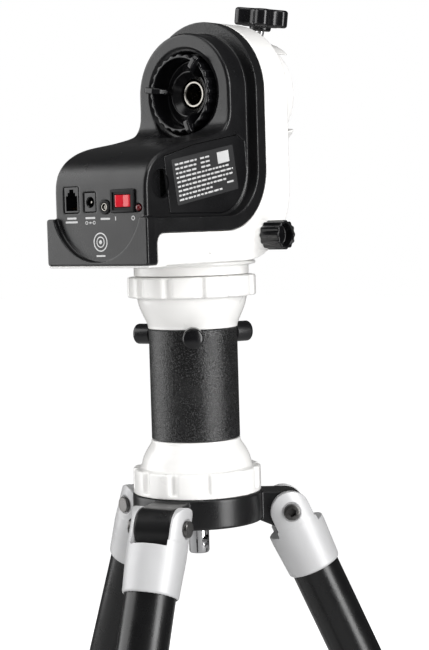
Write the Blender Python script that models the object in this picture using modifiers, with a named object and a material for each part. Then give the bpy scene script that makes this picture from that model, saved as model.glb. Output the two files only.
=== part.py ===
"""Star tracker mount: a motorised altitude-azimuth head on an extension pillar and a folding tripod.

Run it with blender --background --python part.py, or from Blender's text editor. Sizes below are in
millimetres and are turned into metres by the helpers. +Z is up and the control panel faces -Y.
"Head frame" means: origin on the azimuth axis, at the underside of the head's base.
"""

import math

import bmesh
import bpy
from mathutils import Vector

MM = 0.001

# ---- driving dimensions, head frame, millimetres ----
GAP = 0.3  # between pieces that touch

ALT_AXIS_Z = 114.5
ARM_HALF = 49.6
ARM_BACK_Y = 50.0
SPLIT_Y = 24.6  # where the black cover meets the white casting, along the arm
SPLIT_Z = 20.5  # the same joint, along the base
SPLIT_RADIUS = 42.0
BAND = 9.7  # width of the cover's raised band
BASE_FRONT_Y = -83.0
BASE_FRONT_HALF = 45.4
BAND_END_RADIUS = 6.0  # where the band turns down into the cradle
CASTING_WALL = 4.0

TIER_HALF = 41.0
BOSS_FACE_Y = -3.0
PANEL_Y = -88.6
CRADLE_FRONT_Y = -93.0
CRADLE_HALF = 45.2
CRADLE_TOP_Z = 31.2
CRADLE_SCOOP_RADIUS = 40.0
CRADLE_SCOOP_Z = 42.5
TIER_WALL = 4.0

RECESS_RADIUS = 28.5
RECESS_FLOOR_Y = 11.0
BLADE_REACH = 29.8  # of the clutch wheel's finger blades
SHAFT_RADIUS = 9.0
SHAFT_BORE_RADIUS = 7.0

WORM_OFFSET = 36.2  # from a worm wheel's axis to its worm's

SADDLE_RADIUS = 39.5
SADDLE_FRONT_Y = 50.8
SADDLE_BACK_Y = 82.0
SADDLE_TILT = math.radians(8.0)
CHANNEL_FLOOR_Y = 70.0
STAR_KNOB_Y = 75.0

ADAPTER_TOP_Z = -9.5
ADAPTER_RING_RADIUS = 44.3
TUBE_RADIUS = 30.6
TUBE_TOP_Z = -46.0
TUBE_BOTTOM_Z = -122.0
SPIGOT_RADIUS = 27.0
HUB_TOP_Z = -159.3
HUB_BOTTOM_Z = -179.6
HUB_RADIUS = 45.0
PILLAR_SCREW_Z = -50.6
PILLAR_SCREW_ANGLES = (311.0, 71.0, 191.0)

LEG_ANGLES = (47.0, 167.0, 287.0)
LEG_SPLAY = math.radians(23.8)
PIVOT_OUT = 62.6  # from the azimuth axis to a leg pivot
PIVOT_Z = -174.5
PIVOT_HEIGHT = 575.0  # of a leg pivot above the floor
LUG_WIDTH = 26.0
LUG_RADIUS = 13.6
LEG_RADIUS = 17.0
LOWER_LEG_RADIUS = 12.7
UPPER_LEG_END = -400.0
FOOT_TIP_RADIUS = 14.0

# The object's box is centred on the world origin, and the tripod's feet aren't centred on the pillar.
LEG_REACH = (PIVOT_HEIGHT - FOOT_TIP_RADIUS) / math.cos(LEG_SPLAY)
FOOT_OUT = PIVOT_OUT + LEG_REACH * math.sin(LEG_SPLAY)
FOOT_X = [FOOT_OUT * math.cos(math.radians(angle)) for angle in LEG_ANGLES]
FOOT_Y = [FOOT_OUT * math.sin(math.radians(angle)) for angle in LEG_ANGLES]
AXIS_X = -(max(FOOT_X) + min(FOOT_X)) / 2
AXIS_Y = -(max(FOOT_Y) + min(FOOT_Y)) / 2
HEAD_Z = PIVOT_HEIGHT - PIVOT_Z

# Directions that a turned piece can point along, as the rotation that takes +Z there.
ALONG = {
    "+X": (0.0, math.pi / 2, 0.0),
    "-Y": (math.pi / 2, 0.0, 0.0),
    "+Y": (-math.pi / 2, 0.0, 0.0),
    "+Z": (0.0, 0.0, 0.0),
}

for old in list(bpy.data.objects):
    bpy.data.objects.remove(old, do_unlink=True)

PARTS = bpy.data.collections.new("star_tracker_mount")
TOOLS = bpy.data.collections.new("shaping_tools")
bpy.context.scene.collection.children.link(PARTS)
bpy.context.scene.collection.children.link(TOOLS)
TOOLS.hide_render = True

# name: (red, green, blue), metallic, roughness
FINISHES = {
    "white_paint": ((0.83, 0.82, 0.79), 0.0, 0.28),
    "black_plastic": ((0.016, 0.016, 0.018), 0.0, 0.42),
    "gloss_black": ((0.010, 0.010, 0.012), 0.0, 0.18),
    "black_powder_coat": ((0.012, 0.012, 0.013), 0.2, 0.45),
    "black_metal": ((0.014, 0.014, 0.016), 0.3, 0.30),
    "cast_silver": ((0.60, 0.60, 0.62), 0.7, 0.40),
    "steel": ((0.55, 0.53, 0.50), 1.0, 0.28),
    "chrome": ((0.75, 0.75, 0.76), 1.0, 0.10),
    "rubber": ((0.02, 0.02, 0.02), 0.0, 0.80),
    "red_plastic": ((0.62, 0.02, 0.03), 0.0, 0.25),
    "red_lens": ((0.16, 0.01, 0.01), 0.0, 0.12),
    "label_film": ((0.035, 0.036, 0.040), 0.0, 0.40),
    "brass": ((0.62, 0.45, 0.18), 1.0, 0.30),
    "circuit_board": ((0.02, 0.16, 0.06), 0.0, 0.50),
}


def empty(name, place, rotation=(0.0, 0.0, 0.0), parent=None):
    """A frame that pieces are placed in, at a place in millimetres."""
    frame = bpy.data.objects.new(name, None)
    frame.location = Vector(place) * MM
    frame.rotation_euler = rotation
    frame.parent = parent
    PARTS.objects.link(frame)
    return frame


HEAD = empty("azimuth_axis", (AXIS_X, AXIS_Y, HEAD_Z))


def dress(obj, finish):
    """Gives the object a material of its own in the named finish."""
    colour, metallic, roughness = FINISHES[finish]
    material = bpy.data.materials.new(f"{obj.name}_{finish}")
    material.use_nodes = True
    shader = material.node_tree.nodes["Principled BSDF"]
    shader.inputs["Base Color"].default_value = (*colour, 1.0)
    shader.inputs["Metallic"].default_value = metallic
    shader.inputs["Roughness"].default_value = roughness
    material.diffuse_color = (*colour, 1.0)
    obj.data.materials.append(material)


def add(name, mesh, place=(0, 0, 0), rotation=(0, 0, 0), finish=None, parent=None):
    """Links a mesh as a part in the named finish, or as a shaping tool when it has none."""
    obj = bpy.data.objects.new(name, mesh)
    obj.location = Vector(place) * MM
    obj.rotation_euler = rotation
    obj.parent = parent or HEAD
    if finish:
        PARTS.objects.link(obj)
        dress(obj, finish)
    else:
        TOOLS.objects.link(obj)
        obj.hide_render = True
        obj.display_type = "WIRE"
    return obj


def arc(centre, radius, start, end, steps):
    """Points along an arc, with its angles in degrees."""
    angles = [math.radians(start + (end - start) * i / steps) for i in range(steps + 1)]
    return [(centre[0] + radius * math.cos(a), centre[1] + radius * math.sin(a)) for a in angles]


def lobed(mean, depth, lobes, steps_per_lobe=4, sharpness=1.0, phase=0.0):
    """A closed outline whose radius swells at each lobe, pointed outwards when sharpness is above 1."""
    outline = []
    count = lobes * steps_per_lobe
    for i in range(count):
        angle = 2 * math.pi * i / count + phase
        wave = math.cos(lobes * (angle - phase))
        swell = math.copysign(abs(wave) ** (1 / sharpness), wave)
        radius = mean + depth * swell
        outline.append((radius * math.cos(angle), radius * math.sin(angle)))
    return outline


def arch(half, bottom, steps=20):
    """A doorway outline in X and Z: straight sides under a round top centred on the altitude axis."""
    return [(-half, bottom), (half, bottom)] + arc((0, ALT_AXIS_Z), half, 0, 180, steps)


def slab(name, outline, start, end, axis="Z", place=(0, 0, 0), rotation=(0, 0, 0), **where):
    """A flat outline pulled straight along one axis. It lies in YZ, XZ or XY for axis X, Y or Z."""
    put = {"X": lambda u, v, w: (w, u, v), "Y": lambda u, v, w: (u, w, v), "Z": lambda u, v, w: (u, v, w)}
    bm = bmesh.new()
    rim = [bm.verts.new(Vector(put[axis](u, v, start)) * MM) for u, v in outline]
    face = bm.faces.new(rim)
    pulled = bmesh.ops.extrude_face_region(bm, geom=[face])
    moved = [item for item in pulled["geom"] if isinstance(item, bmesh.types.BMVert)]
    bmesh.ops.translate(bm, verts=moved, vec=Vector(put[axis](0, 0, end - start)) * MM)
    bmesh.ops.recalc_face_normals(bm, faces=bm.faces)
    mesh = bpy.data.meshes.new(name)
    bm.to_mesh(mesh)
    bm.free()
    return add(name, mesh, place, rotation, **where)


def block(name, low, high, place=(0, 0, 0), rotation=(0, 0, 0), bevel=0.0, **where):
    """A box between two corners, with its edges cut back by the bevel."""
    low, high = Vector(low) * MM, Vector(high) * MM
    bm = bmesh.new()
    bmesh.ops.create_cube(bm, size=1.0)
    bmesh.ops.scale(bm, verts=bm.verts, vec=high - low)
    bmesh.ops.translate(bm, verts=bm.verts, vec=(low + high) / 2)
    if bevel:
        bmesh.ops.bevel(bm, geom=bm.edges, offset=bevel * MM, segments=1, affect="EDGES")
    mesh = bpy.data.meshes.new(name)
    bm.to_mesh(mesh)
    bm.free()
    return add(name, mesh, place, rotation, **where)


def turned(name, profile, place=(0, 0, 0), along="+Z", rotation=None, steps=24, ring=False, **where):
    """A profile of (radius, height) points turned about Z, listed down the outer side.

    A ring's profile closes on itself; any other starts and ends on the axis.
    """
    mesh = bpy.data.meshes.new(name)
    points = [(radius * MM, 0.0, height * MM) for radius, height in profile]
    edges = [(i, i + 1) for i in range(len(points) - 1)]
    if ring:
        edges.append((len(points) - 1, 0))
    mesh.from_pydata(points, edges, [])
    obj = add(name, mesh, place, ALONG[along] if rotation is None else rotation, **where)
    screw = obj.modifiers.new("turn", "SCREW")
    screw.axis = "Z"
    screw.steps = screw.render_steps = steps
    screw.use_merge_vertices = True
    screw.merge_threshold = 1e-6
    screw.use_smooth_shade = True
    return obj


def rod(name, radius, start, end, place=(0, 0, 0), along="+Z", rotation=None, steps=16, **where):
    """A plain cylinder along its own Z, between two heights."""
    profile = [(0, end), (radius, end), (radius, start), (0, start)]
    return turned(name, profile, place, along, rotation, steps, **where)


def shape(obj, tool, operation):
    """Adds an exact Boolean of the object with the tool."""
    modifier = obj.modifiers.new(tool.name, "BOOLEAN")
    modifier.operation = operation
    modifier.solver = "EXACT"
    modifier.object = tool


def cut(obj, *tools):
    for tool in tools:
        shape(obj, tool, "DIFFERENCE")


def join(obj, *tools):
    for tool in tools:
        shape(obj, tool, "UNION")


def keep_inside(obj, *tools):
    for tool in tools:
        shape(obj, tool, "INTERSECT")


# ---- outlines shared by the casting and its cover, in Y and Z ----
SPLIT_CENTRE = (SPLIT_Y - SPLIT_RADIUS, SPLIT_Z + SPLIT_RADIUS)
ABOVE_ARM = 170.0  # higher than the arm, whose own round top trims it


def plan(inset, front, back):
    """The head seen from above: it narrows towards the front, and its sides lie in by the inset."""
    slope = (ARM_HALF - BASE_FRONT_HALF) / -BASE_FRONT_Y
    near, far = ARM_HALF - inset + slope * front, ARM_HALF - inset + slope * back
    return [(-near, front), (near, front), (far, back), (-far, back)]


def room():
    """The one hollow that the casting and the cover share."""
    wall = CASTING_WALL
    back = ARM_BACK_Y - wall
    side = [(BASE_FRONT_Y + wall, wall)]
    side += arc((0, ARM_BACK_Y), back, -90, 0, 8)
    side += [(back, ABOVE_ARM), (SPLIT_CENTRE[0] + SPLIT_RADIUS - BAND + 3, ABOVE_ARM)]
    side += arc(SPLIT_CENTRE, SPLIT_RADIUS - BAND + 3, 0, -90, 8)
    side += [(BASE_FRONT_Y + wall, SPLIT_Z + BAND - 3)]
    inside = slab("room", side, -60, 60, "X")
    keep_inside(
        inside,
        slab("room_arch", arch(ARM_HALF - wall, -5), -100, 60, "Y"),
        slab("room_plan", plan(wall, -100, 60), -5, 180),
    )
    return inside


ROOM = room()
OUTER_ARCH = slab("outer_arch", arch(ARM_HALF, -5, 28), -100, 60, "Y")
OUTER_PLAN = slab("outer_plan", plan(0, -100, 60), -5, 180)


# ---- head ----
def head_casting():
    """The white L-shaped casting: a base tray and the shell behind the altitude axis."""
    corner = BAND_END_RADIUS
    side = [(BASE_FRONT_Y, 0)] + arc((0, ARM_BACK_Y), ARM_BACK_Y, -90, 0, 9)
    side += [(ARM_BACK_Y, ABOVE_ARM), (SPLIT_Y, ABOVE_ARM)]
    side += arc(SPLIT_CENTRE, SPLIT_RADIUS, 0, -90, 10)
    side += arc((BASE_FRONT_Y + corner, SPLIT_Z - corner), corner, 90, 180, 3)
    casting = slab("head_casting", side, -60, 60, "X", finish="white_paint")
    keep_inside(casting, OUTER_ARCH, OUTER_PLAN)
    cut(casting, ROOM)
    lip = block("casting_lip", (-CRADLE_HALF, CRADLE_FRONT_Y + 0.6, -1.2), (CRADLE_HALF, -76, 0))
    seat = [(21, 6), (21, -4.5), (16.3, -4.5), (16.3, 6)]
    bearing_boss = turned("bearing_boss", seat, (0, 42, ALT_AXIS_Z), "-Y", ring=True)
    knob_boss = turned(
        "lock_knob_boss", [(0, 7), (9.5, 7), (12.5, 1), (12.5, -2), (0, -2)], (45.6, 17.5, 16.6), "+X"
    )
    join(casting, lip, bearing_boss, knob_boss)
    cut(
        casting,
        rod("shaft_opening", 12, -60, -40, (0, 0, ALT_AXIS_Z), "-Y", steps=24),
        rod("journal_opening", 14.4, -5, 6, steps=24),
        rod("lock_screw_hole", 3.4, 30, 60, (0, 17.5, 16.6), "+X", steps=12),
    )
    return casting


# The battery box and the boss seen from the side, from the boss face down to the panel.
NOSE = [
    (-3.6, 97.0),
    (-6.4, 90.8),
    (-12.5, 86.3),
    (-31.0, 82.0),
    (-52.0, 78.6),
    (-62.0, 76.4),
    (-71.0, 73.2),
    (-79.4, 68.2),
    (-85.4, 61.5),
    (-88.0, 54.5),
]
DOOR = [(-70.5, 69.5), (-40, 77.5), (4, 84.5), (11.5, 80)]
DOOR += arc(SPLIT_CENTRE, SPLIT_RADIUS - BAND - 2, -4, -86, 5) + [(-66, 33)]


def shrink(outline, by):
    """The outline moved in by a distance, on all sides. Its points run clockwise or anticlockwise."""
    count = len(outline)
    area = sum(
        outline[i][0] * outline[(i + 1) % count][1] - outline[(i + 1) % count][0] * outline[i][1]
        for i in range(count)
    )
    side = math.copysign(1, area)
    moved = []
    for i in range(count):
        before, here, after = (Vector(outline[j % count]) for j in (i - 1, i, i + 1))
        into, out = (here - before).normalized(), (after - here).normalized()
        bisector = Vector((-into.y - out.y, into.x + out.x)).normalized() * side
        lean = abs(bisector.dot(Vector((-into.y, into.x)) * side))
        moved.append(tuple(here + bisector * by / lean))
    return moved


# Sockets on the control panel: name, centre in X and Z, width, height.
PANEL_OPENINGS = (
    ("hand_control_opening", -25.5, 43.5, 13.7, 17.4),
    ("power_opening", -8.5, 41.6, 10.8, 13.0),
    ("switch_opening", 21.3, 41.7, 19.4, 13.4),
)
SNAP_PLACE = (5.2, 38.2)
LED_PLACE = (34.3, 37.1)


def front_cover():
    """The black moulding: raised band, cradle, battery box, round boss and control panel in one."""
    band_inner = SPLIT_RADIUS - BAND
    side = [(SPLIT_Y - GAP, ABOVE_ARM)] + arc(SPLIT_CENTRE, SPLIT_RADIUS - GAP, 0, -90, 10)
    turn = (BASE_FRONT_Y + BAND_END_RADIUS, SPLIT_Z - BAND_END_RADIUS)
    side += arc(turn, BAND_END_RADIUS + GAP, 90, 180, 4)
    side += [(BASE_FRONT_Y - 2, turn[1]), (BASE_FRONT_Y - 2, SPLIT_Z + BAND)]
    side += arc(SPLIT_CENTRE, band_inner, -90, 0, 8)
    side += [(SPLIT_CENTRE[0] + band_inner, ABOVE_ARM)]
    cover = slab("front_cover", side, -60, 60, "X", finish="black_plastic")
    keep_inside(cover, OUTER_ARCH, OUTER_PLAN)

    tier_side = [(17, 26), (17, 160), (BOSS_FACE_Y, 160)] + NOSE
    tier_side += [(PANEL_Y, 48), (PANEL_Y, 5), (-83.7, 5), (-83.7, 26)]
    tier = slab("tier", tier_side, -60, 60, "X")
    keep_inside(tier, slab("tier_arch", arch(TIER_HALF, -5, 24), -100, 60, "Y"))
    cradle = block(
        "cradle", (-CRADLE_HALF, CRADLE_FRONT_Y, GAP), (CRADLE_HALF, -83.4, CRADLE_TOP_Z), bevel=0.8
    )
    join(cover, tier, cradle)

    nose_side = [(17, 20), (17, 86.5), (-5.8, 86.5)] + NOSE[2:] + [(PANEL_Y, 48), (PANEL_Y, 20)]
    nose_room = shrink(nose_side, TIER_WALL)
    half = TIER_HALF - TIER_WALL
    scoop = rod(
        "cradle_scoop", CRADLE_SCOOP_RADIUS, -PANEL_Y, 100, (0, 0, CRADLE_SCOOP_Z), "-Y", steps=48
    )
    floor = -RECESS_FLOOR_Y
    sweep = BLADE_REACH + 0.7
    steps = [(0, 20), (sweep, 20), (sweep, 3.9), (RECESS_RADIUS, 3.9)]
    steps += [(RECESS_RADIUS, floor), (14, floor), (14, -30), (0, -30)]
    recess = turned("clutch_recess", steps, (0, 0, ALT_AXIS_Z), "-Y", steps=36)
    cut(cover, ROOM, slab("nose_room", nose_room, -half, half, "X"), scoop, recess)
    cut(
        cover,
        slab("door_pocket", DOOR, TIER_HALF - 2.3, TIER_HALF + 2, "X"),
        slab("door_opening", shrink(DOOR, 3), TIER_HALF - 10, TIER_HALF, "X"),
        rod("finger_pocket", 9.4, TIER_HALF - 2.4, TIER_HALF + 3, (0, -72.5, 52), "+X", steps=20),
        rod("snap_opening", 4.2, 80, 92, (SNAP_PLACE[0], 0, SNAP_PLACE[1]), "-Y", steps=16),
        rod("led_opening", 2.5, 82, 92, (LED_PLACE[0], 0, LED_PLACE[1]), "-Y", steps=12),
    )
    for name, x, z, width, height in PANEL_OPENINGS:
        cut(cover, block(name, (x - width / 2, -92, z - height / 2), (x + width / 2, -80, z + height / 2)))
    return cover


def battery_parts():
    door = slab("battery_door", shrink(DOOR, GAP), TIER_HALF - 2, TIER_HALF, "X", finish="black_plastic")
    cut(door, rod("door_finger_dip", 8.2, TIER_HALF - 1, TIER_HALF + 3, (0, -74.5, 52), "+X", steps=20))
    label_tilt = (math.radians(9.8), 0, 0)
    outline = [(-31.5, -15), (31.5, -15), (31.5, 15), (-31.5, 15)]
    label_place = (TIER_HALF, -30, 57.8)
    slab("rating_label", outline, 0.15, 0.45, "X", label_place, label_tilt, finish="label_film")

    cells = 4
    pitch = 15.0
    middle = 50.5
    top = []
    for i in range(cells):
        top += arc((pitch * (cells - 1 - 2 * i) / 2, middle + 7.5), 7.3, 0, 180, 6)
    bottom = [(-x, 2 * middle - z) for x, z in top]
    slab("battery_holder", top + bottom, -62, -5, "Y", finish="gloss_black")
    slab(
        "control_board",
        [(-34, 31), (34, 31), (34, 60), (28, 64), (-28, 64), (-34, 60)],
        -73.4,
        -71.8,
        "Y",
        finish="circuit_board",
    )


def panel_parts():
    """The sockets, the rocker switch and the power light."""
    rj_x, rj_z = PANEL_OPENINGS[0][1:3]
    socket = block(
        "hand_control_socket",
        (rj_x - 6.55, -88.4, rj_z - 8.4),
        (rj_x + 6.55, -74, rj_z + 8.4),
        finish="gloss_black",
    )
    cut(
        socket,
        block("plug_space", (rj_x - 5.1, -90, rj_z - 5.4), (rj_x + 5.1, -77, rj_z + 2.2)),
        block("latch_space", (rj_x - 3.3, -90, rj_z - 1), (rj_x + 3.3, -77, rj_z + 4.6)),
        block("latch_notch", (rj_x - 1.8, -90, rj_z), (rj_x + 1.8, -77, rj_z + 6.6)),
    )
    dc_x, dc_z = PANEL_OPENINGS[1][1:3]
    power = block(
        "power_socket", (dc_x - 5.1, -88.4, dc_z - 6.2), (dc_x + 5.1, -75, dc_z + 6.2), finish="gloss_black"
    )
    well = [(3.1, 90), (3.1, 77.5), (1.0, 77.5), (1.0, 87), (0.0, 87), (0, 90)]
    cut(power, turned("power_well", [(0, 90), *well[:-1]], (dc_x, 0, dc_z), "-Y", steps=16))
    snap = [(1.7, 89.9), (4.0, 89.9), (4.6, 89.3), (4.6, 88.9), (3.9, 88.9)]
    snap += [(3.9, 77), (0, 77), (0, 79), (1.7, 79)]
    turned(
        "snap_socket",
        [(0, 79), (1.7, 79), *snap[:-2]],
        (SNAP_PLACE[0], 0, SNAP_PLACE[1]),
        "-Y",
        steps=16,
        finish="chrome",
    )
    dome = [(0, 90.1), (1.3, 89.8), (2.1, 88.9), (2.1, 82.6), (0, 82.6)]
    turned("power_led", dome, (LED_PLACE[0], 0, LED_PLACE[1]), "-Y", steps=12, finish="red_lens")

    x, z = PANEL_OPENINGS[2][1:3]
    low, high = (x - 10.4, -90.1, z - 7.5), (x + 10.4, -88.9, z + 7.5)
    bezel = block("switch_bezel", low, high, finish="gloss_black")
    join(bezel, block("switch_case", (x - 9.3, -89.5, z - 6.3), (x + 9.3, -77.5, z + 6.3)))
    cut(bezel, block("switch_well", (x - 6.9, -92, z - 4.3), (x + 6.9, -79, z + 4.3)))
    rocker = [(-6.3, -3.3), (0, -2.0), (6.3, -3.3), (5.4, 3.0), (-5.4, 3.0)]
    slab(
        "switch_rocker",
        rocker,
        -3.9,
        3.9,
        "Z",
        (x, -87.2, z),
        (0, 0, math.radians(9)),
        finish="red_plastic",
    )


def altitude_drive():
    """What turns about the altitude axis inside the arm, and what drives it."""
    centre = (0, 0, ALT_AXIS_Z)
    shaft_end = SADDLE_FRONT_Y + 8
    profile = [(SHAFT_BORE_RADIUS, -8), (SHAFT_RADIUS, -8), (SHAFT_RADIUS, -shaft_end), (0, -shaft_end)]
    profile = [(0, -40), (SHAFT_BORE_RADIUS, -40), *profile]
    turned("altitude_shaft", profile, centre, "-Y", steps=32, finish="steel")
    ring = [(9.3, -37.2), (16.0, -37.2), (16.0, -45.6), (9.3, -45.6)]
    turned("altitude_bearing", ring, centre, "-Y", steps=24, ring=True, finish="steel")
    worm_wheel("altitude_worm_wheel", 24, 32, "Y", centre)
    place = (0, 28, ALT_AXIS_Z - WORM_OFFSET)
    worm("altitude_worm", place)
    rod("altitude_motor", 9.5, 17, 44, place, "+X", steps=16, finish="steel")


def worm_wheel(name, low, high, axis, centre):
    """A toothed wheel with a bore that fits its shaft. Every tooth is a ridge and a groove."""
    wheel = slab(name, lobed(29.6, 0.7, 30, 2), low, high, axis, centre, finish="brass")
    along, start, end = ("-Y", -high - 5, -low + 5) if axis == "Y" else ("+Z", low - 5, high + 5)
    cut(wheel, rod(f"{name}_bore", SHAFT_RADIUS + GAP, start, end, centre, along, steps=20))
    return wheel


def worm(name, place):
    """A worm along X, with the ridges of its thread as plain rings."""
    profile = [(0, 14.5), (2.0, 14.5), (2.0, 11.0)]
    ridges = 5
    pitch = 22.0 / ridges
    for i in range(ridges):
        top = 11.0 - i * pitch
        profile += [(4.6, top), (5.8, top - pitch / 2)]
    profile += [(4.6, -11.0), (2.0, -11.0), (2.0, -14.0), (0, -14.0)]
    return turned(name, profile, place, "+X", steps=10, finish="steel")


def clutch_wheel():
    """The scalloped hand wheel in the boss: an outer rim, a web, a hub and three finger blades."""
    centre = (0, 0, ALT_AXIS_Z)
    wheel = slab(
        "altitude_clutch_wheel", lobed(26.2, 0.5, 24, 2), -7.1, 4.5, "Y", centre, finish="gloss_black"
    )
    cut(wheel, rod("wheel_dish", 23.6, -1.5, 20, centre, "-Y", steps=28))
    hub = [(16.0, 3.2), (18.4, 2.2), (18.4, -3.0), (13.6, -4.0)]
    hub += [(13.6, -10.2), (10.4, -10.2), (10.4, -6.0), (12.4, 1.0)]
    join(wheel, turned("wheel_hub", hub, centre, "-Y", steps=24, ring=True))
    for turn in (172, 52, 292):
        spin = (0, -math.radians(turn), 0)
        tip = [(BLADE_REACH - 2, -11.2), (BLADE_REACH, -9.6), (BLADE_REACH, -7.2), (26, -5.4)]
        blade = [(17.5, -9.6), (20, -11.2), *tip, (26, 2), (17.5, 2)]
        arm = slab(f"finger_blade_{turn}", blade, -2.1, 2.1, "Z", centre, spin)
        join(wheel, arm)
    cut(wheel, rod("wheel_bore", 10.4, -12, 2, centre, "-Y", steps=24))
    return wheel


def azimuth_drive():
    """The turntable that stays on the pillar, and the worm drive that rolls round it."""
    base = [
        (0, 26),
        (9, 26),
        (9, 5),
        (14, 5),
        (14, -GAP),
        (44.4, -GAP),
        (44.4, -2.3),
        (39.6, -3.4),
        (39.6, ADAPTER_TOP_Z + GAP),
        (5.3, ADAPTER_TOP_Z + GAP),
        (5.3, 5),
        (0, 5),
    ]
    turned("azimuth_base", base, steps=32, finish="white_paint")
    worm_wheel("azimuth_worm_wheel", 17, 24, "Z", (0, 0, 0))
    place = (0, -WORM_OFFSET, 20.5)
    worm("azimuth_worm", place)
    rod("azimuth_motor", 7.5, 17, 36.5, place, "+X", steps=16, finish="steel")


def azimuth_lock_knob():
    """A fluted hand screw on the casting's right side, with a hollow outer end."""
    knob = slab(
        "azimuth_lock_knob",
        lobed(9.5, 0.4, 12, 4),
        54.5,
        70.5,
        "X",
        (0, 17.5, 16.6),
        finish="gloss_black",
    )
    cut(knob, rod("knob_hollow", 7.2, 64, 80, (0, 17.5, 16.6), "+X", steps=20))
    stem = [(0, 58), (5.6, 58), (5.6, 54.3), (3.0, 53.9), (3.0, 38), (0, 38)]
    join(knob, turned("lock_stem", stem, (0, 17.5, 16.6), "+X", steps=14))
    return knob


SADDLE = empty("altitude_axis", (0, 0, ALT_AXIS_Z), (0, SADDLE_TILT, 0), HEAD)


def saddle():
    """The dovetail clamp: a round body, a sliding jaw and a star knob on a screw."""
    edge = 2.0
    front, back = SADDLE_FRONT_Y, SADDLE_BACK_Y
    profile = [
        (0, -front),
        (SADDLE_RADIUS - edge, -front),
        (SADDLE_RADIUS, -front - edge),
        (SADDLE_RADIUS, -back + edge),
        (SADDLE_RADIUS - edge, -back),
        (0, -back),
    ]
    body = turned("saddle_body", profile, (0, 0, 0), "-Y", steps=36, parent=SADDLE, finish="white_paint")
    channel = [(CHANNEL_FLOOR_Y, -22.3), (back + 1, -19.2), (back + 1, 32), (CHANNEL_FLOOR_Y, 32)]
    cut(
        body,
        rod("shaft_seat", SHAFT_RADIUS + GAP, -front - 8.4, -40, (0, 0, 0), "-Y", steps=24, parent=SADDLE),
        slab("dovetail_channel", channel, -50, 50, "X", parent=SADDLE),
        rod("saddle_screw_hole", 3.4, 20, 60, (0, STAR_KNOB_Y, 0), steps=12, parent=SADDLE),
    )
    foot = CHANNEL_FLOOR_Y + GAP
    outline = [(foot, 20.3), (back, 17.4), (back, 24.6), (foot, 24.6)]
    jaw = slab("saddle_jaw", outline, -19, 19, "X", parent=SADDLE, finish="black_metal")
    cut(jaw, rod("jaw_hole", 3.4, 10, 40, (0, STAR_KNOB_Y, 0), steps=12, parent=SADDLE))
    knob = slab(
        "saddle_star_knob",
        lobed(16.6, 2.9, 5, 12, 1.5, math.radians(-49)),
        50.5,
        63,
        "Z",
        (0, STAR_KNOB_Y, 0),
        parent=SADDLE,
        finish="gloss_black",
    )
    stem = [(0, 55), (9, 55), (9, 47), (3, 47), (3, 21), (0, 21)]
    join(knob, turned("star_stem", stem, (0, STAR_KNOB_Y, 0), steps=16, parent=SADDLE))
    cut(knob, rod("star_dish", 5, 61.5, 70, (0, STAR_KNOB_Y, 0), steps=16, parent=SADDLE))


# ---- pillar ----
def grip_disc(name, low, high):
    """A disc with twelve broad lobes round its edge and a scooped groove between each two."""
    lobes = 12
    outline = []
    for i in range(lobes):
        middle = 360 * i / lobes + 4
        outline += arc((0, 0), ADAPTER_RING_RADIUS, middle - 9.4, middle + 9.4, 2)
        outline += arc((0, 0), ADAPTER_RING_RADIUS - 2.4, middle + 15, middle + 15, 1)[:1]
    return slab(name, outline, low, high)


def pillar():
    top = ADAPTER_TOP_Z
    upper = [
        (0, top),
        (38.6, top),
        (37.6, -24),
        (36.6, -29.5),
        (34.8, -34.8),
        (30.9, -43.8),
        (30.9, TUBE_TOP_Z + GAP),
        (SPIGOT_RADIUS, TUBE_TOP_Z + GAP),
        (SPIGOT_RADIUS, -76),
        (0, -76),
    ]
    adapter = turned("pillar_upper_adapter", upper, steps=32, finish="white_paint")
    join(adapter, grip_disc("upper_grip", -24, top - 0.4))
    hollow = [(0, 0), (5.3, 0), (5.3, -14.5), (33, -14.5), (24, -46), (24, -80), (0, -80)]
    cut(adapter, turned("upper_hollow", hollow, steps=24))
    bolt = [(0, 4), (4.7, 4), (4.7, -15), (10, -15), (10, -24), (0, -24)]
    turned("head_clamp_screw", bolt, steps=16, finish="steel")

    lower = [
        (0, -97),
        (SPIGOT_RADIUS, -97),
        (SPIGOT_RADIUS, TUBE_BOTTOM_Z - GAP),
        (30.9, TUBE_BOTTOM_Z - GAP),
        (34.0, -128),
        (37.0, -135),
        (38.6, -143),
        (38.6, -156),
        (44.2, -156.6),
        (44.2, HUB_TOP_Z + GAP),
        (0, HUB_TOP_Z + GAP),
    ]
    adapter = turned("pillar_lower_adapter", lower, steps=32, finish="white_paint")
    join(adapter, grip_disc("lower_grip", -157, -142))
    hollow = [(0, -90), (24, -90), (24, -122), (34, -141), (34, -151), (5.3, -151), (5.3, -170), (0, -170)]
    cut(adapter, turned("lower_hollow", hollow, steps=24))

    inner = SPIGOT_RADIUS + GAP
    wall = [(inner, TUBE_TOP_Z), (TUBE_RADIUS, TUBE_TOP_Z)]
    wall += [(TUBE_RADIUS, TUBE_BOTTOM_Z), (inner, TUBE_BOTTOM_Z)]
    tube = turned("pillar_tube", wall, steps=36, ring=True, finish="black_powder_coat")
    for number, angle in enumerate(PILLAR_SCREW_ANGLES, 1):
        turn = (0, math.pi / 2, math.radians(angle))
        place = (0, 0, PILLAR_SCREW_Z)
        cut(tube, rod(f"thumbscrew_hole_{number}", 2.9, 20, 40, place, rotation=turn, steps=8))
        head = [(0, 46.4), (5.2, 46.1), (6.6, 45.2), (7.15, 43.6), (7.15, 32.2)]
        head += [(2.5, 31.8), (2.5, 27.4), (0, 27.4)]
        name = f"pillar_thumbscrew_{number}"
        turned(name, head, place, rotation=turn, steps=16, finish="gloss_black")


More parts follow.
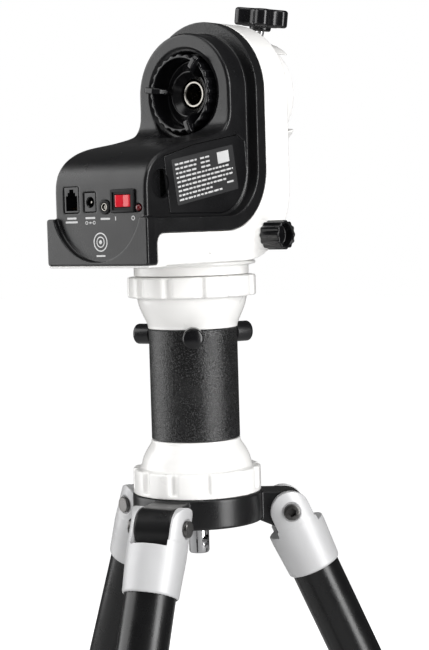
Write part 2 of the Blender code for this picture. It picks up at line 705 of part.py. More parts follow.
# ---- tripod ----
def tripod_hub():
    edge = 1.2
    profile = [
        (5.4, HUB_TOP_Z),
        (HUB_RADIUS - edge, HUB_TOP_Z),
        (HUB_RADIUS, HUB_TOP_Z - edge),
        (HUB_RADIUS, HUB_BOTTOM_Z + edge),
        (HUB_RADIUS - edge, HUB_BOTTOM_Z),
        (34, HUB_BOTTOM_Z),
        (34, -171),
        (5.4, -171),
    ]
    hub = turned("tripod_hub", profile, steps=30, ring=True, finish="black_metal")
    for number, angle in enumerate(LEG_ANGLES, 1):
        turn = (0, 0, math.radians(angle))
        side = [(38, HUB_TOP_Z - 1), (PIVOT_OUT, HUB_TOP_Z - 1.6)]
        side += arc((PIVOT_OUT, PIVOT_Z), LUG_RADIUS, 80, -90, 7) + [(52, -185.2), (38, -178.8)]
        half = LUG_WIDTH / 2
        join(hub, slab(f"lug_{number}", side, -half, half, "Y", (0, 0, 0), turn))
        cut(hub, lug_bore(number, turn))
    return hub


def lug_bore(number, turn):
    """The hole through a lug, as an outline, because its axis is level and square to the leg."""
    hole = arc((PIVOT_OUT, PIVOT_Z), 4.3, 0, 330, 11)
    return slab(f"lug_bore_{number}", hole, -20, 20, "Y", (0, 0, 0), turn)


def clamp_screw():
    """The captive screw under the hub, with a cross hole for a bar."""
    profile = [
        (0, -144),
        (4.8, -144),
        (4.8, -179),
        (6.4, -179),
        (7.1, -180),
        (7.1, -201.7),
        (6.2, -202.7),
        (0, -202.7),
    ]
    screw = turned("pillar_clamp_screw", profile, steps=20, finish="chrome")
    cut(screw, rod("tommy_bar_hole", 3.7, -20, 20, (0, 0, -193.5), "+X", steps=14))
    return screw


def leg(number, angle):
    """One leg, in a frame at its pivot: X outwards, Y along the pivot, Z up the leg."""
    heading = math.radians(angle)
    place = (PIVOT_OUT * math.cos(heading), PIVOT_OUT * math.sin(heading), PIVOT_Z)
    frame = empty(f"leg_frame_{number}", place, (0, -LEG_SPLAY, heading), HEAD)

    cup = [(0, -10.5), (20.2, -10.5), (20.2, -20), (18.9, -44), (18.2, -46)]
    cup += [(17.3, -46), (17.3, -20), (0, -20)]
    clevis = turned(f"leg_clevis_{number}", cup, steps=24, parent=frame, finish="cast_silver")
    ear_low, ear_high = LUG_WIDTH / 2 + GAP, 18.8
    side = [(-14, -19), (14, -19)] + arc((0, 0), 14, 0, 180, 10)
    ears = rod(f"ears_{number}", 20.0, -22, 22, steps=24, parent=frame)
    keep_inside(ears, slab(f"ear_outline_{number}", side, -ear_high, ear_high, "Y", parent=frame))
    join(clevis, ears)
    cut(
        clevis,
        block(f"clevis_slot_{number}", (-30, -ear_low, -14.4), (30, ear_low, 20), parent=frame),
        rod(f"clevis_bore_{number}", 4.3, -30, 30, (0, 0, 0), "-Y", steps=12, parent=frame),
    )
    bolt = [(0, 21.8), (5.2, 21.8), (5.6, 21.3), (5.6, 19.1), (4, 19.1)]
    bolt += [(4, -19.1), (5.6, -19.1), (5.6, -21.6), (0, -21.6)]
    pin = turned(f"leg_pivot_bolt_{number}", bolt, along="-Y", steps=12, parent=frame, finish="black_metal")
    cut(pin, rod(f"hex_socket_{number}", 3.0, 19.4, 30, (0, 0, 0), "-Y", steps=6, parent=frame))

    inner = LEG_RADIUS - 1.5
    wall = [(inner, -20.3), (LEG_RADIUS, -20.3), (LEG_RADIUS, UPPER_LEG_END), (inner, UPPER_LEG_END)]
    turned(f"upper_leg_tube_{number}", wall, steps=24, ring=True, parent=frame, finish="gloss_black")
    leg_lock(number, frame)

    outer, inner = LOWER_LEG_RADIUS, LOWER_LEG_RADIUS - 1.3
    end = -LEG_REACH + 10
    wall = [(inner, -80), (outer, -80), (outer, end), (inner, end)]
    turned(f"lower_leg_tube_{number}", wall, steps=20, ring=True, parent=frame, finish="cast_silver")
    sole = [(outer + GAP, end + 26), (15.2, end + 26), (15.6, end + 2)]
    sole += arc((0, -LEG_REACH), FOOT_TIP_RADIUS, 0, -90, 5) + [(0, end - GAP), (outer + GAP, end - GAP)]
    # The sole's underside meets the axis, so the profile runs from the inner floor round to the tip.
    order = [sole[-2], sole[-1], *sole[:-2]]
    turned(f"foot_{number}", order, steps=16, parent=frame, finish="rubber")


def leg_lock(number, frame):
    """The collar at the end of the upper tube, and the hand screw that clamps the lower tube."""
    top, stop, low = UPPER_LEG_END + 16, UPPER_LEG_END - GAP, UPPER_LEG_END - 30
    upper_bore, lower_bore = LEG_RADIUS + GAP, LOWER_LEG_RADIUS + GAP
    profile = [
        (upper_bore, top),
        (19.6, top),
        (20.4, top - 2),
        (20.4, low + 8),
        (18.4, low),
        (lower_bore, low),
        (lower_bore, stop),
        (upper_bore, stop),
    ]
    name = f"leg_lock_collar_{number}"
    collar = turned(name, profile, steps=20, ring=True, parent=frame, finish="gloss_black")
    height = UPPER_LEG_END - 15
    place = (0, 0, height)
    boss = [(0, 25), (6.5, 25), (8, 17), (8, 15.5), (0, 15.5)]
    join(collar, turned(f"lock_boss_{number}", boss, place, "+X", steps=12, parent=frame))
    cut(collar, rod(f"lock_hole_{number}", 3.3, 5, 30, place, "+X", steps=8, parent=frame))
    knob = slab(
        f"leg_lock_knob_{number}", lobed(9.5, 1.8, 5, 4), 26, 36, "X", place, parent=frame, finish="gloss_black"
    )
    tip = LOWER_LEG_RADIUS + 0.5
    stem = [(0, 30), (3, 30), (3, tip), (0, tip)]
    join(knob, turned(f"lock_stem_{number}", stem, place, "+X", steps=8, parent=frame))


head_casting()
front_cover()
battery_parts()
panel_parts()
altitude_drive()
clutch_wheel()
azimuth_drive()
azimuth_lock_knob()
saddle()
pillar()
tripod_hub()
clamp_screw()
for leg_number, leg_angle in enumerate(LEG_ANGLES, 1):
    leg(leg_number, leg_angle)
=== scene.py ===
"""Star tracker mount: the looks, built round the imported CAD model.

Shapes are drawn in millimetres in the head frame, whose origin is on the azimuth axis at the underside of
the head's base. "-Y" is the side with the control panel.
"""

import math
import random

import bmesh
import bpy
from mathutils import Matrix, Vector


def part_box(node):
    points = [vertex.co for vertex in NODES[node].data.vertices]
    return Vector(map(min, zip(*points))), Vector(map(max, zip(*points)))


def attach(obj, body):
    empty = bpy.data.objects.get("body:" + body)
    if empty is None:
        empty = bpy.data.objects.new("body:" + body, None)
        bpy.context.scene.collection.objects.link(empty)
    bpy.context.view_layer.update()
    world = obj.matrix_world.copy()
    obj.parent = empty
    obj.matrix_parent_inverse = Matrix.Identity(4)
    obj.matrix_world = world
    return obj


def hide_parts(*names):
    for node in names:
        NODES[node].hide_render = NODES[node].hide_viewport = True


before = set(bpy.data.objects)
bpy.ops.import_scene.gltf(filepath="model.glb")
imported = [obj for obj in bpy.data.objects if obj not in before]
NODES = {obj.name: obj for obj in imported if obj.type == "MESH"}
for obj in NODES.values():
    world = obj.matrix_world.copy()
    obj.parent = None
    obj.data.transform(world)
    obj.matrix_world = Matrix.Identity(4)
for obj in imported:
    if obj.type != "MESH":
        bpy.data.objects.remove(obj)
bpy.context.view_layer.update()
SEED = random.Random(11)

MM = 0.001
GAP = 0.3  # between pieces that touch
FINE = 1.0  # coarser remeshing while trying things

# ---- places read from the frame ----
HUB_TOP_Z = -159.3
TUBE_LOW, TUBE_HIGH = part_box("pillar_tube")
HUB_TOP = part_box("tripod_hub")[1].z
ORIGIN = Vector(((TUBE_LOW.x + TUBE_HIGH.x) / 2, (TUBE_LOW.y + TUBE_HIGH.y) / 2, HUB_TOP - HUB_TOP_Z * MM))

# ---- the head's driving dimensions ----
ALT_AXIS_Z = 114.5
ARM_HALF = 49.6
ARM_BACK_Y = 50.0
SPLIT_Y = 24.6
SPLIT_Z = 20.5
SPLIT_RADIUS = 42.0
SPLIT_CENTRE = (SPLIT_Y - SPLIT_RADIUS, SPLIT_Z + SPLIT_RADIUS)
BAND = 9.7
BASE_FRONT_Y = -83.0
BASE_FRONT_HALF = 45.4
BAND_END_RADIUS = 6.0
CASTING_WALL = 4.0
TIER_HALF = 41.0
BOSS_FACE_Y = -3.0
PANEL_Y = -88.6
PRINT_RISE = 0.05  # how far printed signs stand proud of the panel
PRINT_ROOT = 0.1  # and how far they reach into it
CRADLE_FRONT_Y = -93.0
CRADLE_HALF = 45.2
CRADLE_TOP_Z = 31.2
CRADLE_SCOOP_RADIUS = 40.0
CRADLE_SCOOP_Z = 42.5
RECESS_RADIUS = 28.5
RECESS_FLOOR_Y = 11.0
BLADE_REACH = 29.8
SHAFT_RADIUS = 9.0
SHAFT_BORE_RADIUS = 7.0
SADDLE_RADIUS = 39.5
SADDLE_FRONT_Y = 50.8
SADDLE_BACK_Y = 82.0
SADDLE_TILT = math.radians(8.0)
CHANNEL_FLOOR_Y = 70.0
STAR_KNOB_Y = 75.0
LOCK_KNOB_Y = 17.5
LOCK_KNOB_Z = 16.6
BLADE_TURNS = (172, 52, 292)

# ---- the pillar's and tripod's ----
ADAPTER_TOP_Z = -9.5
ADAPTER_RING_RADIUS = 44.3
GRIP_LOBES = 12
GRIP_DEPTH = 2.4
TUBE_RADIUS = 30.6
ADAPTER_LIP_RADIUS = 30.9
SPIGOT_RADIUS = 27.0
TUBE_TOP_Z = -46.0
TUBE_BOTTOM_Z = -122.0
PILLAR_SCREW_Z = -50.6
PILLAR_SCREW_ANGLES = (311.0, 71.0, 191.0)
HUB_BOTTOM_Z = -179.6
HUB_RADIUS = 45.0
LEG_ANGLES = (47.0, 167.0, 287.0)
LEG_SPLAY = math.radians(23.8)
PIVOT_OUT = 62.6
PIVOT_Z = -174.5
LUG_WIDTH = 26.0
LUG_RADIUS = 13.6
LEG_RADIUS = 17.0
LOWER_LEG_RADIUS = 12.7
UPPER_LEG_END = -400.0
FOOT_TIP_RADIUS = 14.0
LEG_REACH = (ORIGIN.z / MM + PIVOT_Z - FOOT_TIP_RADIUS) / math.cos(LEG_SPLAY)

ABOVE_ARM = 170.0
MADE = []


# ---- outlines ----
def rectangle(left, low, right, high):
    return [(left, low), (right, low), (right, high), (left, high)]


def arc(centre, radius, start, end, steps=16):
    """Points along an arc, with its angles in degrees."""
    angles = [math.radians(start + (end - start) * i / steps) for i in range(steps + 1)]
    return [(centre[0] + radius * math.cos(a), centre[1] + radius * math.sin(a)) for a in angles]


def rounded(points, radius, closed=True, steps=5):
    """The outline with its corners rounded off, by no more than the sides have room for."""
    count = len(points)
    outline = []
    for i in range(count):
        here = Vector(points[i])
        if not closed and i in (0, count - 1):
            outline.append(tuple(here))
            continue
        before, after = Vector(points[i - 1]), Vector(points[(i + 1) % count])
        into, out = before - here, after - here
        turn = math.pi - into.angle(out)
        if turn < math.radians(12):
            outline.append(tuple(here))
            continue
        reach = min(radius * math.tan(turn / 2), 0.48 * into.length, 0.48 * out.length)
        first, last = here + into.normalized() * reach, here + out.normalized() * reach
        for k in range(steps + 1):
            t = k / steps
            outline.append(tuple(first * (1 - t) ** 2 + here * 2 * t * (1 - t) + last * t * t))
    return outline


def flowing(points, steps=5):
    """A smooth line through every point."""
    line = []
    for i in range(len(points) - 1):
        a, b, c, d = (Vector(points[max(0, min(len(points) - 1, i + k))]) for k in (-1, 0, 1, 2))
        for k in range(steps):
            t = k / steps
            curve = 2 * b + (c - a) * t + (2 * a - 5 * b + 4 * c - d) * t**2 + (3 * b - a - 3 * c + d) * t**3
            line.append(tuple(curve / 2))
    return line + [points[-1]]


def shrink(outline, by):
    """The outline moved in by a distance, on all sides."""
    count = len(outline)
    area = sum(
        outline[i][0] * outline[(i + 1) % count][1] - outline[(i + 1) % count][0] * outline[i][1]
        for i in range(count)
    )
    side = math.copysign(1, area)
    moved = []
    for i in range(count):
        before, here, after = (Vector(outline[j % count]) for j in (i - 1, i, i + 1))
        into, out = (here - before).normalized(), (after - here).normalized()
        bisector = Vector((-into.y - out.y, into.x + out.x)).normalized() * side
        lean = max(0.3, abs(bisector.dot(Vector((-into.y, into.x)) * side)))
        moved.append(tuple(here + bisector * by / lean))
    return moved


def lobed(mean, depth, lobes, steps_per_lobe=12, sharpness=1.0, phase=0.0):
    """A closed outline whose radius swells at each lobe, broader outwards when sharpness is above 1."""
    outline = []
    count = lobes * steps_per_lobe
    for i in range(count):
        angle = 2 * math.pi * i / count + phase
        wave = math.cos(lobes * (angle - phase))
        swell = math.copysign(abs(wave) ** (1 / sharpness), wave)
        radius = mean + depth * swell
        outline.append((radius * math.cos(angle), radius * math.sin(angle)))
    return outline


def arch(half, bottom, steps=64):
    """A doorway outline in X and Z: straight sides under a round top centred on the altitude axis."""
    return [(-half, bottom), (half, bottom)] + arc((0, ALT_AXIS_Z), half, 0, 180, steps)


# ---- solids, as working shapes ----
def along(direction, place=(0, 0, 0)):
    """The matrix that stands a shape's Z axis along a named direction, at a place."""
    turns = {"+X": (math.pi / 2, "Y"), "-Y": (math.pi / 2, "X"), "+Y": (-math.pi / 2, "X"), "+Z": (0, "X")}
    angle, axis = turns[direction]
    return Matrix.Translation(place) @ Matrix.Rotation(angle, 4, axis)


def loft(rings, ring=False, matrix=Matrix()):
    """A closed solid over rings of points, capped at both ends unless the last ring joins the first."""
    bm = bmesh.new()
    rows = [[bm.verts.new(point) for point in row] for row in rings]
    count = len(rows[0])
    pairs = list(zip(rows, rows[1:]))
    if ring:
        pairs.append((rows[-1], rows[0]))
    for low, high in pairs:
        for i in range(count):
            j = (i + 1) % count
            bm.faces.new((low[i], low[j], high[j], high[i]))
    if not ring:
        bm.faces.new(rows[0])
        bm.faces.new(rows[-1])
    bmesh.ops.remove_doubles(bm, verts=bm.verts, dist=1e-4)
    bmesh.ops.recalc_face_normals(bm, faces=bm.faces)
    mesh = bpy.data.meshes.new("working_shape")
    bm.to_mesh(mesh)
    bm.free()
    obj = bpy.data.objects.new("working_shape", mesh)
    obj.matrix_world = matrix
    bpy.context.scene.collection.objects.link(obj)
    MADE.append(obj)
    return obj


def slab(outline, start, end, axis="Z", edge=0.0, matrix=Matrix()):
    """An outline pulled along an axis, in YZ, XZ or XY for axis X, Y or Z, with rounded rims."""
    put = {
        "X": lambda u, v, w: (w, u, v),
        "Y": lambda u, v, w: (u, w, v),
        "Z": lambda u, v, w: (u, v, w),
    }[axis]
    if not edge:
        return loft([[put(u, v, w) for u, v in outline] for w in (start, end)], matrix=matrix)
    turns = [math.radians(angle) for angle in (0, 22, 45, 68, 90)]
    side = math.copysign(1, end - start)
    layers = [(edge * (1 - math.sin(t)), start + side * edge * (1 - math.cos(t))) for t in turns]
    layers += [(inset, start + end - height) for inset, height in reversed(layers)]
    rings = []
    for inset, w in layers:
        row = shrink(outline, inset) if inset > 1e-6 else outline
        rings.append([put(u, v, w) for u, v in row])
    return loft(rings, matrix=matrix)


def lathe(profile, matrix=Matrix(), steps=96, ring=False):
    """A profile of (radius, height) turned about Z."""
    angles = [2 * math.pi * i / steps for i in range(steps)]
    rings = [[(r * math.cos(a), r * math.sin(a), h) for a in angles] for r, h in profile]
    return loft(rings, ring, matrix)


def rod(radius, start, end, matrix=Matrix(), steps=64):
    return lathe([(0, start), (radius, start), (radius, end), (0, end)], matrix, steps)


def block(low, high, edge=0.0, matrix=Matrix()):
    outline = rectangle(low[0], low[1], high[0], high[1])
    if edge:
        outline = rounded(outline, edge)
    return slab(outline, low[2], high[2], "Z", edge * 0.6, matrix)


def shape(obj, tool, operation):
    modifier = obj.modifiers.new("shape", "BOOLEAN")
    modifier.operation = operation
    modifier.solver = "MANIFOLD"
    modifier.object = tool


def cut(obj, *tools):
    for tool in tools:
        shape(obj, tool, "DIFFERENCE")
    return obj


def join(obj, *tools):
    for tool in tools:
        shape(obj, tool, "UNION")
    return obj


def keep_inside(obj, *tools):
    for tool in tools:
        shape(obj, tool, "INTERSECT")
    return obj


def soften(obj, width, steps=4, sharpest=40.0):
    """Rounds a working shape's sharp edges with arcs."""
    modifier = obj.modifiers.new("soften", "BEVEL")
    modifier.width = width
    modifier.segments = steps
    modifier.limit_method = "ANGLE"
    modifier.angle_limit = math.radians(sharpest)
    return obj


def settle(obj):
    """The working shape's mesh with every modifier applied, in millimetres."""
    bpy.context.view_layer.update()
    mesh = bpy.data.meshes.new_from_object(obj.evaluated_get(bpy.context.evaluated_depsgraph_get()))
    mesh.transform(obj.matrix_world)
    return mesh


def merged(shapes):
    """One mesh of several working shapes that don't touch."""
    bm = bmesh.new()
    for one in shapes:
        bm.from_mesh(settle(one))
    mesh = bpy.data.meshes.new("merged")
    bm.to_mesh(mesh)
    bm.free()
    return mesh


def moulded(obj, grid, smoothing=5, keep=1.0):
    """Remeshes a working shape on a fine grid and smooths it, so that every edge is a small radius."""
    remesh = obj.modifiers.new("grid", "REMESH")
    remesh.mode = "VOXEL"
    remesh.voxel_size = grid * FINE
    smooth = obj.modifiers.new("smooth", "SMOOTH")
    smooth.factor = 0.5
    smooth.iterations = smoothing
    if keep < 1.0:
        fewer = obj.modifiers.new("fewer", "DECIMATE")
        fewer.ratio = keep
    return obj


def show(name, mesh, body, material, nodes=(), crease=32.0, where=Matrix()):
    """Makes a finished piece of a settled mesh: it rides on a body and stands for CAD nodes."""
    mesh = mesh.copy()
    mesh.transform(Matrix.Translation(ORIGIN) @ Matrix.Scale(MM, 4) @ where)
    mesh.name = name
    mesh.materials.clear()
    for one in material if isinstance(material, (list, tuple)) else [material]:
        mesh.materials.append(one)
    mesh.shade_smooth()
    if crease:
        mesh.set_sharp_from_angle(angle=math.radians(crease))
    obj = bpy.data.objects.new(name, mesh)
    bpy.context.scene.collection.objects.link(obj)
    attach(obj, body)
    if nodes:
        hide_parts(*nodes)
    return obj


# ---- materials ----
def surface(
    name, colour, roughness, metallic=0.0, shade=0.08, patch=25.0, rough_spread=0.08, rough_scale=60.0,
    grain=900.0, bump=0.05, depth=0.0002, edge=None, coat=0.0, painted_sparkle=None, specular=0.5,
):
    """A surface with patchy colour, varied roughness, a fine bump and, if asked, lighter edges (partly wear,
    partly painted highlight) or bright specks painted as sparkle.

    Scales are per metre: a grain of 900 has features about 1 mm across.
    """
    material = bpy.data.materials.new(name)
    material.use_nodes = True
    tree = material.node_tree
    nodes, link = tree.nodes, tree.links.new
    shader = nodes["Principled BSDF"]
    shader.inputs["Metallic"].default_value = metallic
    shader.inputs["Specular IOR Level"].default_value = specular
    shader.inputs["Coat Weight"].default_value = coat
    shader.inputs["Coat Roughness"].default_value = 0.08
    place = nodes.new("ShaderNodeTexCoord").outputs["Object"]

    def noise(scale, detail=3.0, stretch=None):
        texture = nodes.new("ShaderNodeTexNoise")
        texture.inputs["Scale"].default_value = scale
        texture.inputs["Detail"].default_value = detail
        source = place
        if stretch:
            mapping = nodes.new("ShaderNodeMapping")
            mapping.inputs["Scale"].default_value = stretch
            link(place, mapping.inputs["Vector"])
            source = mapping.outputs["Vector"]
        link(source, texture.inputs["Vector"])
        return texture.outputs["Fac"]

    def ramp(value, stops):
        node = nodes.new("ShaderNodeValToRGB")
        node.color_ramp.elements[0].position, node.color_ramp.elements[1].position = stops[0][0], stops[1][0]
        node.color_ramp.elements[0].color = (*stops[0][1], 1.0)
        node.color_ramp.elements[1].color = (*stops[1][1], 1.0)
        link(value, node.inputs["Fac"])
        return node.outputs["Color"]

    def mix(factor, first, second):
        node = nodes.new("ShaderNodeMix")
        node.data_type = "RGBA"
        link(factor, node.inputs["Factor"])
        for value, socket in ((first, node.inputs["A"]), (second, node.inputs["B"])):
            if isinstance(value, tuple):
                socket.default_value = (*value, 1.0)
            else:
                link(value, socket)
        return node.outputs["Result"]

    dark = tuple(c * (1 - shade) for c in colour)
    light = tuple(min(1.0, c * (1 + shade)) for c in colour)
    base = ramp(noise(patch), [(0.3, dark), (0.7, light)])
    # Bright specks painted into the colour: a painted sparkle standing in for coating flakes glinting in the
    # light.
    if painted_sparkle:
        level, sparkle_colour, scale = painted_sparkle
        sparkle_spots = ramp(noise(scale, 1.0), [(level, (0, 0, 0)), (level + 0.06, (1, 1, 1))])
        base = mix(sparkle_spots, base, sparkle_colour)
    # Sharp convex edges take a lighter colour: partly edge wear, partly a painted highlight where rims catch
    # the light.
    if edge:
        pointed = nodes.new("ShaderNodeNewGeometry").outputs["Pointiness"]
        worn_and_lit_edges = ramp(pointed, [(0.52, (0, 0, 0)), (0.60, (1, 1, 1))])
        base = mix(worn_and_lit_edges, base, edge)
    link(base, shader.inputs["Base Color"])

    spread = nodes.new("ShaderNodeMapRange")
    spread.inputs["From Min"].default_value = 0.3
    spread.inputs["From Max"].default_value = 0.7
    spread.inputs["To Min"].default_value = max(0.02, roughness - rough_spread / 2)
    spread.inputs["To Max"].default_value = roughness + rough_spread / 2
    link(noise(rough_scale, 5.0), spread.inputs["Value"])
    link(spread.outputs["Result"], shader.inputs["Roughness"])

    relief = nodes.new("ShaderNodeBump")
    relief.inputs["Strength"].default_value = bump
    relief.inputs["Distance"].default_value = depth
    link(noise(grain, 2.0), relief.inputs["Height"])
    link(relief.outputs["Normal"], shader.inputs["Normal"])
    return material


# The edge colours given below lighten sharp edges: partly wear, partly painted highlight.
WHITE = surface(
    "white_paint", (0.88, 0.872, 0.855), 0.30, shade=0.012, rough_spread=0.06, grain=350, bump=0.08,
    depth=0.0003, edge=(0.90, 0.895, 0.88), coat=0.35,
)
SATIN = surface(
    "satin_black_moulding", (0.0056, 0.0056, 0.0062), 0.30, shade=0.15, rough_spread=0.08, grain=1300,
    bump=0.5, depth=0.00016, edge=(0.018, 0.018, 0.019),
)
TEXTURED = surface(
    "textured_black_moulding", (0.0052, 0.0052, 0.0057), 0.31, shade=0.15, grain=820, bump=0.55,
    depth=0.00035, edge=(0.020, 0.020, 0.021), rough_spread=0.10,
)
BEZEL = surface(
    "dark_bezel_plastic", (0.0040, 0.0040, 0.0045), 0.34, shade=0.12, grain=900, bump=0.1,
    specular=0.16, edge=(0.014, 0.014, 0.015),
)
GLOSS = surface(
    "gloss_black_plastic", (0.0045, 0.0045, 0.0052), 0.22, shade=0.12, rough_spread=0.08, grain=500,
    bump=0.04, edge=(0.016, 0.016, 0.017),
)
# The powder coat's bright specks are a painted sparkle of glinting flakes.
POWDER = surface(
    "black_powder_coat", (0.0070, 0.0070, 0.0072), 0.25, metallic=0.0, shade=0.2, grain=1050, bump=0.9,
    depth=0.00045, painted_sparkle=(0.56, (0.046, 0.046, 0.047), 1300), rough_spread=0.10,
)
LEG_PAINT = surface(
    "black_leg_paint", (0.0045, 0.0045, 0.0048), 0.27, shade=0.12, grain=900, bump=0.35, depth=0.00015,
    rough_spread=0.08,
)
HUB_BLACK = surface(
    "semi_gloss_black_metal", (0.0060, 0.0060, 0.0064), 0.30, metallic=0.0, grain=900, bump=0.2,
    depth=0.0002, edge=(0.022, 0.022, 0.023),
)
BLACK_OXIDE = surface(
    "black_oxide_steel", (0.10, 0.097, 0.094), 0.30, metallic=1.0, grain=900, bump=0.1,
    edge=(0.20, 0.195, 0.19),
)
SILVER = surface(
    "satin_silver_casting", (0.56, 0.56, 0.565), 0.44, metallic=0.2, shade=0.03, grain=1300, bump=0.16,
    depth=0.00015, edge=(0.66, 0.66, 0.665),
)
SILVER_TUBE = surface(
    "drawn_tube", (0.62, 0.62, 0.64), 0.30, metallic=0.9, shade=0.03, grain=900, bump=0.06,
)
STEEL = surface(
    "turned_steel", (0.36, 0.345, 0.315), 0.27, metallic=1.0, shade=0.06, grain=2200, bump=0.10,
    depth=0.0001,
)
CHROME = surface("bright_plating", (0.60, 0.60, 0.61), 0.10, metallic=1.0, shade=0.03, grain=300, bump=0.03)
RUBBER = surface("matt_rubber", (0.022, 0.022, 0.022), 0.78, grain=1500, bump=0.35, edge=(0.04, 0.04, 0.04))
RED = surface("red_rocker", (0.70, 0.015, 0.03), 0.22, shade=0.10, grain=400, bump=0.03, coat=0.5)
RED_LENS = surface("red_lens", (0.10, 0.004, 0.006), 0.12, shade=0.15, grain=300, bump=0.02, coat=0.6)
LABEL = surface("label_film", (0.028, 0.028, 0.029), 0.40, shade=0.10, grain=600, bump=0.05)
PRINT = surface("white_print", (0.55, 0.55, 0.55), 0.50, shade=0.10, grain=1500, bump=0.10)
GREY_PRINT = surface("grey_print", (0.66, 0.66, 0.66), 0.50, shade=0.12, grain=1500, bump=0.10)
BRASS = surface("machined_brass", (0.62, 0.45, 0.18), 0.28, metallic=1.0, grain=1800, bump=0.08)
GOLD = surface("gold_contacts", (0.40, 0.29, 0.12), 0.30, metallic=1.0, grain=900, bump=0.03)
BOARD = surface("solder_mask", (0.02, 0.15, 0.055), 0.42, shade=0.2, grain=900, bump=0.10)


# ---- the head's outer form ----
def plan(inset, front, back):
    """The head seen from above: it narrows towards the front."""
    slope = (ARM_HALF - BASE_FRONT_HALF) / -BASE_FRONT_Y
    near, far = ARM_HALF - inset + slope * front, ARM_HALF - inset + slope * back
    return [(-near, front), (near, front), (far, back), (-far, back)]


def hull():
    """The head's whole outer form, with its back and underside edges rounded."""
    side = [(-110, 0)] + arc((0, ARM_BACK_Y), ARM_BACK_Y, -90, 0, 32)
    side += [(ARM_BACK_Y, ABOVE_ARM), (-110, ABOVE_ARM)]
    form = slab(side, -60, 60, "X")
    keep_inside(form, slab(arch(ARM_HALF, -5), -120, 70, "Y"), slab(plan(0, -100, 60), -5, 180))
    return soften(form, 2.6, 4, 50)


def room():
    """The hollow that the casting and the cover share."""
    wall = CASTING_WALL
    back = ARM_BACK_Y - wall
    side = [(BASE_FRONT_Y + wall, wall)] + arc((0, ARM_BACK_Y), back, -90, 0, 16)
    side += [(back, ABOVE_ARM), (SPLIT_CENTRE[0] + SPLIT_RADIUS - BAND + 3, ABOVE_ARM)]
    side += arc(SPLIT_CENTRE, SPLIT_RADIUS - BAND + 3, 0, -90, 16)
    side += [(BASE_FRONT_Y + wall, SPLIT_Z + BAND - 3)]
    inside = slab(side, -60, 60, "X")
    lengthwise = slab(arch(ARM_HALF - wall, -5), -100, 60, "Y")
    return keep_inside(inside, lengthwise, slab(plan(wall, -100, 60), -5, 180))


def head_casting():
    corner = BAND_END_RADIUS
    side = [(BASE_FRONT_Y, -20), (80, -20), (80, ABOVE_ARM), (SPLIT_Y, ABOVE_ARM)]
    side += arc(SPLIT_CENTRE, SPLIT_RADIUS, 0, -90, 32)
    side += arc((BASE_FRONT_Y + corner, SPLIT_Z - corner), corner, 90, 180, 8)
    casting = keep_inside(hull(), slab(side, -70, 70, "X"))
    cut(casting, room(), rod(14.4, -5, 6), rod(12, -60, -40, along("-Y", (0, 0, ALT_AXIS_Z))))
    seat = [(21, 6), (21, -4.5), (16.3, -4.5), (16.3, 6)]
    boss = [(0, 9), (8.6, 9), (9.4, 8.4), (9.6, 7), (10.4, 4.2), (12.6, 1), (13.4, -2.4), (0, -2.4)]
    knob_place = (45.6, LOCK_KNOB_Y, LOCK_KNOB_Z)
    join(
        casting,
        block((-CRADLE_HALF, CRADLE_FRONT_Y + 0.6, -1.2), (CRADLE_HALF, -76, 0.4)),
        lathe(seat, along("-Y", (0, 42, ALT_AXIS_Z)), ring=True),
        lathe(boss[:2] + rounded(boss[2:-1], 1.5, closed=False) + boss[-1:], along("+X", knob_place)),
    )
    cut(
        casting,
        rod(3.4, 30, 60, along("+X", (0, LOCK_KNOB_Y, LOCK_KNOB_Z))),
        rod(1.5, 45, 52, along("+X", (0, -35.0, 5.2)), 24),
    )
    mesh = settle(moulded(casting, 0.85, 6, 0.45))
    show("head_casting_shell", mesh, "head", WHITE, ["head_casting"], crease=0)


NOSE = [
    (-3.6, 97.0),
    (-6.4, 90.8),
    (-12.5, 86.3),
    (-31.0, 82.0),
    (-52.0, 78.6),
    (-62.0, 76.4),
    (-71.0, 73.2),
    (-79.4, 68.2),
    (-85.4, 61.5),
    (-88.0, 54.5),
]
DOOR = [(-70.5, 69.5), (-40, 77.5), (4, 84.5), (11.5, 80)]
DOOR += arc(SPLIT_CENTRE, SPLIT_RADIUS - BAND - 2, -4, -86, 12) + [(-66, 33)]

# The rating label on the door, and the rows of bars that stand for its print.
LABEL_PLACE = (TIER_HALF, -30, 57.8)
LABEL_TILT = math.radians(9.8)
LABEL_HALF = (31.5, 15)
LABEL_FACE = 0.30
FIRST_LINE = 10.6
LINE_PITCH = 2.9
LINE_HEIGHT = 1.2
LINE_ENDS = (-8.0, -9.0, -9.5, 24.0, 27.5, 26.5, 19.0, 4.0, 14.0)

# Sockets on the control panel: centre in X and Z, width, height.
HAND_CONTROL = (-25.5, 43.5, 13.7, 17.4)
POWER = (-8.5, 41.6, 10.8, 13.0)
SWITCH = (21.3, 41.7, 19.4, 13.4)
SNAP_PLACE = (5.2, 38.2)
LED_PLACE = (34.3, 37.1)
CONTACTS = 6
CONTACT_PITCH = 1.27


